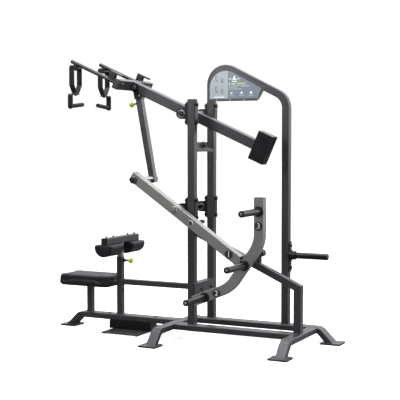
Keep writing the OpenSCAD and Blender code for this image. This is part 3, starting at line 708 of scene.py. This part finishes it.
def make_thigh_rolls():
    low, high = corners("thigh_pads")
    centre_x, top = middle(low, high)[0], high[2]

    def ring(inset, y):
        return [Vector((x, y, z)) for x, z in roll_outline(inset, centre_x, top)]

    stations = ROLL_END + [(0.0012, ROLL_LENGTH / 2)]
    stations += [(inset, ROLL_LENGTH - y) for inset, y in reversed(ROLL_END)]
    for side, start in (("near", low[1]), ("far", high[1] - ROLL_LENGTH)):
        body = Solid()
        body.loft([ring(inset, start + y) for inset, y in stations])
        roll = body.place("thigh_roll_" + side)
        puff(roll, voxel=0.005, is_pinned=lambda co: co.z > top - 0.006, max_swell=0.0045,
             z_high=top)
        welts = Solid()
        for y in (start + ROLL_WELT, start + ROLL_LENGTH - ROLL_WELT):
            path = surface_path(roll, resample(ring(0.003, y), 0.004), lift=0.0004)
            groove(roll, path, width=0.006, depth=0.0018)
            welts.tube(path, 0.0018, closed=True)
        attach(roll, "thigh_roller", "vinyl", replaces="thigh_pads")
        welts.make("thigh_welt_" + side, "thigh_roller", "vinyl")


make_thigh_rolls()

# ------------------------------------------------------------------ sign, in mm of (x, z)
SIGN_ROUND = (138, 1995, 140)  # x, z and radius of the rounded upper corner
SIGN_BOTTOM = 1912
SIGN_SLOPE = math.radians(26.3)  # fall of the top edge towards +X
PRINT_LIFT = 0.0005  # print stands proud of the panel, m
PRINT_SINK = 0.0002  # and reaches into it, m


def sign_outline():
    x, z, radius = SIGN_ROUND
    return ([(x - radius, SIGN_BOTTOM)]
            + arc(x, z, radius, math.pi, math.pi / 2 - SIGN_SLOPE - math.pi, 32)
            + [(442, 1995), (449, 1985), (418, SIGN_BOTTOM)])


def clip(polygon, keep):
    """The part of a convex polygon where keep(point) >= 0."""
    result = []
    for i, a in enumerate(polygon):
        b = polygon[(i + 1) % len(polygon)]
        keep_a, keep_b = keep(a), keep(b)
        if keep_a >= 0:
            result.append(a)
        if (keep_a >= 0) != (keep_b >= 0):
            t = keep_a / (keep_a - keep_b)
            result.append((a[0] + (b[0] - a[0]) * t, a[1] + (b[1] - a[1]) * t))
    return result


def rect(x0, z0, x1, z1):
    return [(x0, z0), (x1, z0), (x1, z1), (x0, z1)]


def pill(x0, z0, x1, z1, radius=None):
    """Bar with rounded corners, fully round unless a radius is given."""
    width, height = x1 - x0, z1 - z0
    radius = min(radius or height / 2, width / 2, height / 2) * 0.98
    centre_x, centre_z = (x0 + x1) / 2, (z0 + z1) / 2
    return [(centre_x + x, centre_z + z) for x, z in rounded_rect(width, height, radius, 5)]


def disc(x, z, radius, count=24):
    return [(x + radius * math.cos(a), z + radius * math.sin(a)) for a in turns(count)]


# bars of the pictogram: x0, z0, x1, z1 before scaling, corner radius in mm
FIGURE_BODY = [(-4, -4, 4, 15, None), (-4, -8, 16, -1, None), (10, -24, 16, -3, None),
               (-12, -13, 8, -10, 1)]
FIGURE_ARMS_UP = [(-2, 11, 4, 36, None), (-8, 35, 18, 38, 1)]
FIGURE_ARMS_DOWN = [(2, 6, 20, 10, None), (12, 14, 24, 17, 1)]


def seated_figure(x, z, arms, scale=0.9):
    """A small plain pictogram of a seated user."""
    return [disc(x, z + 22 * scale, 5 * scale, 16)] + [
        pill(x + x0 * scale, z + z0 * scale, x + x1 * scale, z + z1 * scale, radius)
        for x0, z0, x1, z1, radius in FIGURE_BODY + arms]


# name, left and right x, material
SIGN_PANELS = (
    ("sign_left_panel", -10, 147, PRINTS["light"]),
    ("sign_green_stripe", 147, 157, PRINTS["green"]),
    ("sign_right_panel", 157, 460, MATERIALS["sign_print"]),
)
# name, print colour, shapes
SIGN_PRINTS = (
    # a plain peak with a bar on either side and one below
    ("sign_emblem", "white", [
        [(196, 2058), (236, 2058), (216, 2098)],
        rect(168, 2066, 192, 2072), rect(240, 2066, 262, 2072), rect(194, 2045, 240, 2051)]),
    ("sign_title", "lime", [pill(188, 2024, 232, 2038), pill(240, 2024, 314, 2038)]),
    ("sign_title_mark", "white", [disc(172, 2031, 6)]),
    ("sign_lines", "grey", [
        pill(166, 2011, 262, 2016), pill(270, 2007, 344, 2016),
        pill(166, 1999, 236, 2003), pill(166, 1986, 284, 1992)]),
    ("sign_icons", "white", [
        disc(191, 1957, 8), pill(271, 1949, 286, 1967, 3), pill(352, 1949, 372, 1967, 3)]),
    ("sign_icon_bars", "grey", [
        pill(168, 1932, 214, 1937), pill(256, 1934, 302, 1939), pill(340, 1934, 386, 1939)]),
    ("sign_pictograms", "dark",
        seated_figure(52, 2064, FIGURE_ARMS_UP) + seated_figure(104, 2056, FIGURE_ARMS_DOWN)
        + seated_figure(52, 1976, FIGURE_ARMS_UP) + seated_figure(104, 1972, FIGURE_ARMS_DOWN)),
    ("sign_footer", "white", [pill(40, 1922, 128, 1930)]),
    ("sign_left_text", "grey", [
        pill(30, 2022, 76, 2026), pill(84, 2022, 126, 2026), pill(30, 1940, 120, 1943)]),
)


def make_sign():
    low, high = corners("sign_face")
    near, far = low[1], high[1]
    for name, left, right, material in SIGN_PANELS:
        strip = clip(sign_outline(), lambda point: point[0] - left)
        strip = clip(strip, lambda point: right - point[0])
        panel = Solid()
        panel.prism(strip, near, far)
        panel.make(name, "frame", "sign_print", material, replaces="sign_face", smooth=False)
    for name, colour, shapes in SIGN_PRINTS:
        graphic = Solid()
        for shape in shapes:
            graphic.prism(shape, near - PRINT_LIFT, near + PRINT_SINK)
        graphic.make(name, "frame", "sign_print", PRINTS[colour], smooth=False)


make_sign()

# ------------------------------------------------------------------ number discs
NUMBER_DISCS = (("1", 382, 716), ("2", 279, 411), ("3", 626, 939))  # digit, x, z in mm


def digit_mesh(digit):
    curve = bpy.data.curves.new("digit_" + digit, "FONT")
    curve.body = digit
    curve.size = 0.059
    curve.extrude = 0.0006
    curve.bevel_depth = 0.0002
    curve.align_x = "CENTER"
    curve.align_y = "CENTER"
    text = place("tmp", curve)
    bpy.context.view_layer.update()
    depsgraph = bpy.context.evaluated_depsgraph_get()
    mesh = bpy.data.meshes.new_from_object(text.evaluated_get(depsgraph))
    bpy.data.objects.remove(text)
    return mesh


def make_disc_digits():
    near = corners("number_discs")[0][1]
    upright = Matrix.Rotation(math.pi / 2, 4, "X")
    for digit, x, z in NUMBER_DISCS:
        mesh = digit_mesh(digit)
        mesh.transform(Matrix.Translation(at_depth(x, z, near - 0.0005)) @ upright)
        attach(place("disc_digit_" + digit, mesh), "weight_lever", "disc_paint", DIGIT_WHITE)
        rim = Solid()
        centre = at_depth(x, z, near - 0.0002)
        rim.tube(circle(centre, X_AXIS, Z_AXIS, 0.0300, 64), 0.0014, closed=True)
        rim.make("disc_rim_" + digit, "weight_lever", "disc_paint")


make_disc_digits()

# ------------------------------------------------------------------ horn ends
WEIGHT_HORNS = ((511, 637), (177, 374), (626, 1050))  # x, z in mm
# distance in from the horn's end, radius
DOME = [(-0.0128 + 0.0060 * (1 - math.cos(a)), max(0.0005, 0.0253 * math.sin(a)))
        for a in [math.pi / 2 * i / 14 for i in range(15)]]
DOME += [(-0.0016, 0.0254), (-0.0006, 0.0251), (0.0, 0.0246)]
SCREW = [(-0.0150, 0.0005), (-0.0150, 0.0062), (-0.0146, 0.0074), (-0.0138, 0.0080),
         (-0.0118, 0.0082)]


def make_weight_horn_ends():
    near = corners("weight_horns")[0][1]
    domes, screws = Solid(), Solid()
    for x, z in WEIGHT_HORNS:
        end = at_depth(x, z, near)
        domes.lathe(end, Y_AXIS, DOME, sides=56)
        screws.lathe(end, Y_AXIS, SCREW, sides=32)
    domes.make("horn_domes", "weight_lever", "black_plastic")
    screws.make("horn_screws", "weight_lever", "rivet")


def make_storage_horn_end():
    """A dome on the +X end and three fine rings near the -X end."""
    low, high = corners("storage_horn")
    _, y, z = middle(low, high)
    dome = Solid()
    dome.lathe(Vector((high[0], y, z)), -X_AXIS, DOME, sides=56)
    dome.make("storage_dome", "frame", "black_plastic")
    rings = Solid()
    for k in range(3):
        centre = Vector((low[0] + 0.054 + k * 0.0016, y, z))
        rings.tube(circle(centre, Y_AXIS, Z_AXIS, 0.0252, 48), 0.0008, closed=True, sides=6)
    rings.make("storage_rings", "frame", "black_steel")


make_weight_horn_ends()
make_storage_horn_end()

# ------------------------------------------------------------------ knobs on the pins
THIGH_KNOB_RADIUS = 0.0235
THIGH_KNOB_FACE = 0.013  # from the knob's centre to its outer face
LINK_KNOB_RADIUS = 0.0215


def lobed_profile(radius):
    """Flat knob with a narrow neck, each span cut in three."""
    outline = [
        (-THIGH_KNOB_FACE, 0.0006), (-THIGH_KNOB_FACE, radius * 0.55), (-0.012, radius * 0.80),
        (-0.009, radius * 0.94), (-0.004, radius), (0.002, radius), (0.006, radius * 0.96),
        (0.009, radius * 0.86), (0.0105, radius * 0.66), (0.012, radius * 0.46),
        (0.020, radius * 0.42), (0.026, radius * 0.40), (0.027, radius * 0.36)]
    fine = [(a[0] + (b[0] - a[0]) * i / 3, a[1] + (b[1] - a[1]) * i / 3)
            for a, b in zip(outline, outline[1:]) for i in range(3)]
    return fine + outline[-1:]


def lobes(along, angle):
    """Twelve shallow hollows, deepest near the knob's middle."""
    fade = max(0.0, 1 - ((along + 0.001) / 0.011) ** 2)
    return 1 - 0.045 * fade * (0.5 + 0.5 * math.cos(12 * angle)) ** 2


def ball_profile(radius):
    angles = [math.pi * 0.86 * i / 26 for i in range(27)]
    ball = [(-radius * math.cos(a), max(0.0006, radius * math.sin(a))) for a in angles]
    return ball + [(radius * 0.95, radius * 0.42), (radius * 1.25, radius * 0.40),
                   (radius * 1.35, radius * 0.36)]


def make_knobs():
    low, high = corners("thigh_knob")
    _, y, z = middle(low, high)
    thigh_centre = Vector((high[0] - THIGH_KNOB_FACE, y, z))
    thigh_knob = Solid()
    thigh_knob.lathe(thigh_centre, -X_AXIS, lobed_profile(THIGH_KNOB_RADIUS), sides=144,
                     ripple=lobes)
    thigh_knob.make("thigh_pin_knob", "thigh_pin", "lime_plastic", replaces="thigh_knob")

    # the link leans: its own axes and origin, with the knob's centre in that frame
    lean = math.atan2(140, 740)
    link_x = Vector((math.cos(lean), 0, math.sin(lean)))
    link_z = Vector((-math.sin(lean), 0, math.cos(lean)))
    link_centre = at(-588, 0, 2008) + link_x * -0.084 + link_z * -0.124
    link_knob = Solid()
    link_knob.lathe(link_centre, link_x, ball_profile(LINK_KNOB_RADIUS), sides=64)
    link_knob.make("link_pin_knob", "link", "lime_plastic", replaces="link_knob")

    stem = Solid()
    stem.lathe(link_centre + link_x * 0.021, link_x, [
        (0, 0.0004), (0, 0.0066), (0.026, 0.0066), (0.026, 0.0105), (0.0345, 0.0115),
        (0.0355, 0.0095), (0.0375, 0.0095)], sides=32)
    stem.make("link_pin_stem", "link", "bolt_steel")

    # the collar fills the gap between the knob's neck and the pin's housing
    neck = 0.026
    pin_stop = corners("thigh_pin")[0][0] + 0.0445
    length = max(0.004, thigh_centre.x - neck - pin_stop)
    collar = Solid()
    collar.lathe(thigh_centre - X_AXIS * neck, -X_AXIS, [
        (0, 0.0004), (0, 0.0072), (length * 0.4, 0.0072), (length * 0.4, 0.0100),
        (length * 0.9, 0.0112), (length, 0.0104)], sides=32)
    collar.make("thigh_pin_collar", "thigh_pin", "bolt_steel")


make_knobs()

# ------------------------------------------------------------------ ribbed grips
GRIP_RADIUS = 0.0170
GRIP_BORE = 0.0095
RIB_PITCH = 0.0072
RIB_CUT = 0.0161  # radius at the bottom of the grooves


def grip_profile(length):
    profile = [(0.0, GRIP_BORE), (0.0, 0.0155), (0.0014, 0.0168), (0.010, GRIP_RADIUS)]
    along = 0.014
    while along < length - 0.016:
        profile += [(along, GRIP_RADIUS), (along + 0.0006, RIB_CUT),
                    (along + 0.0020, RIB_CUT), (along + 0.0026, GRIP_RADIUS)]
        along += RIB_PITCH
    return profile + [(length - 0.010, GRIP_RADIUS), (length - 0.0014, 0.0168),
                      (length, 0.0155), (length, GRIP_BORE)]


def make_grips():
    joints = {joint["name"]: joint for joint in frame["joints"]}
    for side, sign in (("near", 1), ("far", -1)):
        part = side + "_grip"
        joint = joints[part + "_spin"]
        axis = Vector(joint["axis"]).normalized() * sign
        origin = Vector(joint["pos_m"])
        reach = [(v.co - origin).dot(axis) for v in PARTS[part].data.vertices]
        start = min(reach)
        grip = Solid()
        grip.lathe(origin + axis * start, axis, grip_profile(max(reach) - start), sides=56)
        grip.make(side + "_ribbed_grip", part, "grip_rubber", replaces=part)


make_grips()

# ------------------------------------------------------------------ tread plate
TREAD_PITCH = 0.021
TREAD_MARGIN = 0.012  # both edges together
TREAD_GAP = 0.008  # kept clear round the foot box
LOZENGE_LENGTH = 0.0092  # half the length
LOZENGE_WIDTH = 0.0032  # half the width
LOZENGE_HEIGHT = 0.0018
LOZENGE_SINK = 0.0003
LOZENGE_TOP = 0.62  # size of the top against the base


def lozenge_ring(x, y, z, angle, scale):
    end, width = LOZENGE_LENGTH, LOZENGE_WIDTH
    outline = [(-end, 0), (-end * 0.35, -width), (end * 0.35, -width),
               (end, 0), (end * 0.35, width), (-end * 0.35, width)]
    cos, sin = math.cos(angle), math.sin(angle)
    return [(x + (p * cos - q * sin) * scale, y + (p * sin + q * cos) * scale, z)
            for p, q in outline]


def make_tread():
    """Raised lozenges, leaning left and right in turn, clear of the foot box."""
    low, high = corners("foot_tread")
    box_low, box_high = corners("foot_box")
    centre_x, centre_y, _ = middle(low, high)
    columns = int((high[0] - low[0] - TREAD_MARGIN) / TREAD_PITCH)
    rows = int((high[1] - low[1] - TREAD_MARGIN) / TREAD_PITCH)
    tread = Solid()
    for i in range(columns):
        for j in range(rows):
            x = centre_x + (i - (columns - 1) / 2) * TREAD_PITCH
            y = centre_y + (j - (rows - 1) / 2) * TREAD_PITCH
            beside_box = box_low[1] - TREAD_GAP < y < box_high[1] + TREAD_GAP
            if beside_box and x < box_high[0] + TREAD_GAP:
                continue
            angle = math.pi / 4 if (i + j) % 2 else -math.pi / 4
            tread.loft([lozenge_ring(x, y, high[2] - LOZENGE_SINK, angle, 1),
                        lozenge_ring(x, y, high[2] + LOZENGE_HEIGHT, angle, LOZENGE_TOP)])
    tread.make("tread_pattern", "frame", "black_steel", TREAD_STEEL, smooth=False)
    PARTS["foot_tread"].material_slots[0].material = TREAD_STEEL


make_tread()

# ------------------------------------------------------------------ frame welds, in mm
BEAM_TOP = 128  # beads at the top of the floor beams
THIN_BEAD = 0.0026  # m
SIDE_OFFSET = 31  # from an upright's middle to the beads on its sides
# x, y, size of the square posts that stand on the beams
POSTS = ((0, -UPRIGHT_Y, 60), (0, UPRIGHT_Y, 60), (651, UPRIGHT_Y, 60), (891, -UPRIGHT_Y, 60),
         (SEAT_POST_X, 0, 50), (-760, 0, 50))
# x, y of the middle of the beads where beams meet the crossbars
BEAM_ENDS = ((-136, -UPRIGHT_Y), (-136, UPRIGHT_Y), (853, -UPRIGHT_Y), (-216, 0))
# the brace's upper edge passes through this x, z and rises towards -X
BRACE_POINT = (921, 491)
BRACE_SLOPE = math.tan(math.radians(24.5))
UPRIGHT_FACE = 30  # x of the uprights' +X face


def make_frame_welds():
    welds = Solid()

    def square(x, y, z, size):
        outline = rounded_rect(size + 3, size + 3, 6, 5)
        welds.weld([at(x + u, y + v, z + 1) for u, v in outline])

    def line(*points, radius=0.0032):
        welds.weld([at(*point) for point in points], radius, closed=False)

    for x, y, size in POSTS:
        square(x, y, BEAM_TOP, size)
    for x, y in BEAM_ENDS:
        line((x, y - 50, BEAM_TOP), (x, y + 50, BEAM_TOP))
    line((855, 122, BEAM_TOP), (931, 122, BEAM_TOP))

    # brace on the near upright's +X face: over the top, then down both sides
    face = UPRIGHT_FACE + 1.5
    brace_z = BRACE_POINT[1] + (BRACE_POINT[0] - UPRIGHT_FACE) * BRACE_SLOPE
    line(*[(face, -UPRIGHT_Y + y, brace_z + 1) for y in (-26, 0, 26)])
    for y in (-UPRIGHT_Y - SIDE_OFFSET, -UPRIGHT_Y + SIDE_OFFSET):
        line((face, y, brace_z - 4), (face, y, brace_z - 56))

    # cross plates between the uprights
    for side in (-1, 1):
        y = side * (UPRIGHT_Y - SIDE_OFFSET)
        line((-28, y, 1567), (28, y, 1511), radius=THIN_BEAD)
        line((-28, y, 456), (28, y, 456), radius=THIN_BEAD)

    # seat bracket round the seat post, then the beam on the thigh column
    square(SEAT_POST_X, 0, 353, 50)
    line(*[(-734, y, 425.5) for y in (-20, 0, 20)], radius=THIN_BEAD)
    line((-734, -26, 420), (-734, -26, 384), radius=THIN_BEAD)
    welds.make("frame_welds", "frame", "frame_paint", WELD_FRAME)


make_frame_welds()

# ------------------------------------------------------------------ foot soles, in mm
FOOT_PLATES = ((-176, -545, 150, 132), (893, -545, 150, 132), (1042, 182, 158, 150),
               (-1243, 0, 142, 152))  # x, y, length, width
# height, growth beyond the plate
SOLE_SECTION = ((0.0, -1.0), (0.0, 1.2), (1.2, 2.0), (10.5, 2.0), (11.5, 1.2), (11.5, -1.0))


def make_foot_soles():
    """Bands round the lower edge of the foot plates."""
    soles = Solid()
    for x, y, length, width in FOOT_PLATES:
        soles.loft([
            [at(x + u, y + v, z) for u, v in
             rounded_rect(length + 2 * grow, width + 2 * grow, 8 + grow, 5)]
            for z, grow in SOLE_SECTION], closed=True)
    soles.make("foot_soles", "frame", "black_plastic")


make_foot_soles()

# ------------------------------------------------------------------ upper arm
ARM_TILT = math.radians(23.65)
ARM_ALONG = Vector((math.cos(ARM_TILT), 0, -math.sin(ARM_TILT)))
ARM_UP = Vector((math.sin(ARM_TILT), 0, math.cos(ARM_TILT)))
ARM_ORIGIN = at(-90, 0, 1790)
ARM_SIDE = 220  # y of the round joints and bolts on the cross tube, mm


def on_arm(x, y, z):
    """World point of a place in mm in the arm's own frame."""
    return ARM_ORIGIN + ARM_ALONG * (x / 1000) + Y_AXIS * (y / 1000) + ARM_UP * (z / 1000)


def make_arm_details():
    """Welds at the cross tube and the counterweight, and the cross tube's bolts."""
    welds = Solid()
    welds.weld([on_arm(-569, y, z) for y, z in rounded_rect(82, 74, 6, 5)], 0.003)
    welds.weld([on_arm(603, y, z) for y, z in rounded_rect(83, 83, 7, 5)], 0.0034)
    for y in (-ARM_SIDE, ARM_SIDE):
        welds.weld(circle(on_arm(-620.5, y, 0), Y_AXIS, ARM_UP, 0.017, 40), 0.0024)
        ends = [on_arm(-649.5, y + v, 20) for v in (-17, 17)]
        welds.weld(ends, 0.002, closed=False)
    welds.make("arm_welds", "upper_arm", "frame_paint", WELD_FRAME)

    bolts = Solid()
    washer = [(0.0, 0.0004), (0.0, 0.0125), (0.0034, 0.0125), (0.0038, 0.0118), (0.0038, 0.0064)]
    head = [(0.0, 0.0004), (0.0, 0.0098), (0.0080, 0.0098), (0.0092, 0.0086), (0.0092, 0.0004)]
    for y in (-ARM_SIDE, ARM_SIDE):
        bolts.lathe(on_arm(-571, y, 12), ARM_ALONG, washer, sides=40)
        bolts.lathe(on_arm(-568, y, 12), ARM_ALONG, head, sides=6)
    bolts.make("cross_tube_bolts", "upper_arm", "steel")


make_arm_details()


# ------------------------------------------------------------------ lever
def make_lever_details():
    """Weld rings painted light as a painted highlight, stop rod plug, pivot face and link shaft cap on the near
    face.
    """
    near = corners("lever_tube")[0][1]
    welds = Solid()
    for (x, z), radius in ((LEVER_PIVOT, 0.0255), (STOP_ROD, 0.019)):
        centre = at_depth(x, z, near - 0.0008)
        welds.weld(circle(centre, X_AXIS, Z_AXIS, radius, 60), 0.0040)
    # the rings take the lighter weld paint, which is a painted highlight
    welds.make("lever_welds", "weight_lever", "lever_paint", LEVER_WELD_PAINTED_HIGHLIGHT)

    plug = Solid()
    plug.lathe(at_depth(*STOP_ROD, near - 0.0046), Y_AXIS, [
        (0.0, 0.0004), (0.0, 0.0125), (0.0006, 0.0145), (0.0026, 0.0150), (0.0040, 0.0150)],
        sides=40)
    # sleeve round the rod, with a fine groove
    plug.lathe(at(STOP_ROD[0], -142, STOP_ROD[1]), Y_AXIS, [
        (0.0, 0.0122), (0.0, 0.0156), (0.0012, 0.0165), (0.0240, 0.0165), (0.0246, 0.0160),
        (0.0256, 0.0160), (0.0262, 0.0165), (0.0408, 0.0165), (0.0420, 0.0156),
        (0.0420, 0.0122)], sides=40)
    plug.make("stop_rod_plug", "weight_lever", "black_rubber")

    pivot = Solid()
    pivot.lathe(at_depth(*LEVER_PIVOT, near - 0.0150), Y_AXIS, [
        (0.0, 0.0004), (0.0006, 0.0150), (0.0006, 0.0178), (0.0020, 0.0196), (0.0090, 0.0200),
        (0.0102, 0.0225), (0.0140, 0.0228)])
    pivot.make("pivot_face", "weight_lever", "lever_paint")

    cap = Solid()
    cap.lathe(at_depth(-448, 1268, near - 0.0185), Y_AXIS, [
        (0.0, 0.0004), (0.0004, 0.012), (0.0016, 0.022), (0.0045, 0.0285), (0.0085, 0.0312),
        (0.0175, 0.0316)], sides=56)
    cap.make("link_shaft_cap", "weight_lever", "black_plastic")


make_lever_details()


# ------------------------------------------------------------------ floor, world, lights, camera
def floor_material():
    """Near white to the camera, dark to all other rays so that it throws little light back."""
    material, sh = new_material("floor_mat")
    camera_ray = sh.node("LightPath").outputs["Is Camera Ray"]
    mottle = sh.noise(scale=3, detail=3, rough=0.5)
    seen = sh.ramp(mottle, (0.80, 0.80, 0.80), (0.84, 0.84, 0.84))
    sh.surface({
        "Base Color": sh.mix(camera_ray, (0.16, 0.16, 0.16), seen),
        "Roughness": 0.9,
        "Specular IOR Level": 0.1,
        "Emission Color": (1, 1, 1),
        "Emission Strength": sh.math("MULTIPLY", camera_ray, 0.62),
    })
    return material


def make_floor(half=60.0):
    mesh = bpy.data.meshes.new("floor")
    square = [(-half, -half, 0), (half, -half, 0), (half, half, 0), (-half, half, 0)]
    mesh.from_pydata(square, [], [(0, 1, 2, 3)])
    floor = place("floor", mesh)
    mesh.materials.append(floor_material())


def make_world():
    """White to the camera; for lighting, soft from above and +X, strong from +Y."""
    world = bpy.data.worlds.new("studio")
    bpy.context.scene.world = world
    world.use_nodes = True
    world.node_tree.nodes.clear()
    sh = Shader(world.node_tree)
    direction = sh.node("SeparateXYZ", {0: sh.node("TexCoord").outputs["Generated"]}).outputs
    from_above = sh.remap(direction["Z"], 0.04, 0.50, from_low=-0.1, from_high=1.0)
    from_side = sh.remap(direction["X"], 0.0, 0.34, from_low=0.1, from_high=1.0)
    behind = sh.remap(direction["Y"], 0.0, 1.0, from_low=0.0, from_high=0.85)
    # the wall of light at +Y is dim near the floor, except towards +X
    by_height = sh.remap(direction["Z"], 0.16, 2.0, from_low=0.14, from_high=0.42)
    by_side = sh.remap(direction["X"], 0.0, 2.3, from_low=0.05, from_high=0.36)
    wall = sh.math("MULTIPLY", behind, sh.math("MAXIMUM", by_height, by_side))
    strength = sh.math("ADD", sh.math("ADD", from_above, from_side), wall)
    lighting = sh.node("Background", {"Color": (0.97, 0.98, 1.0), "Strength": strength})
    backdrop = sh.node("Background", {"Color": (1, 1, 1), "Strength": 1.05})
    camera_ray = sh.node("LightPath").outputs["Is Camera Ray"]
    shown = sh.node("MixShader", {0: camera_ray, 1: lighting.outputs[0], 2: backdrop.outputs[0]})
    sh.node("OutputWorld", {0: shown.outputs[0]})


def area_light(name, location, target, size, power):
    light = bpy.data.lights.new(name, "AREA")
    light.shape = "RECTANGLE"
    light.size, light.size_y = size
    light.energy = power
    obj = place(name, light)
    obj.location = location
    aim = Vector(target) - Vector(location)
    obj.rotation_euler = aim.to_track_quat("-Z", "Y").to_euler()


def make_lights():
    centre = at(0, 0, 1000)
    x, y = centre.x, centre.y
    area_light("top_soft", (x - 0.2, y - 0.4, 5.2), centre, size=(5.0, 4.0), power=380)
    area_light("right_soft", (x + 5.5, y - 1.6, 2.4), centre, size=(3.0, 3.6), power=140)
    area_light("front_left_soft", (x - 1.9, y - 3.4, 3.3), at(-100, 0, 1700),
               size=(1.6, 1.6), power=74)


def make_camera():
    """Looks from -Y and +X, slightly downwards."""
    data = bpy.data.cameras.new("camera")
    camera = place("camera", data)
    camera.location = at(3664.86, -7458.91, 1596.53)
    camera.rotation_euler = (math.radians(90 - 3.4), 0, math.radians(26.29))
    data.sensor_width = 36
    data.lens = 93.6315
    data.clip_end = 200
    bpy.context.scene.camera = camera


make_floor()
make_world()
make_lights()
make_camera()
view = bpy.context.scene.view_settings
view.view_transform = "Standard"
view.look = "None"
view.exposure = 0.0
view.gamma = 1.0
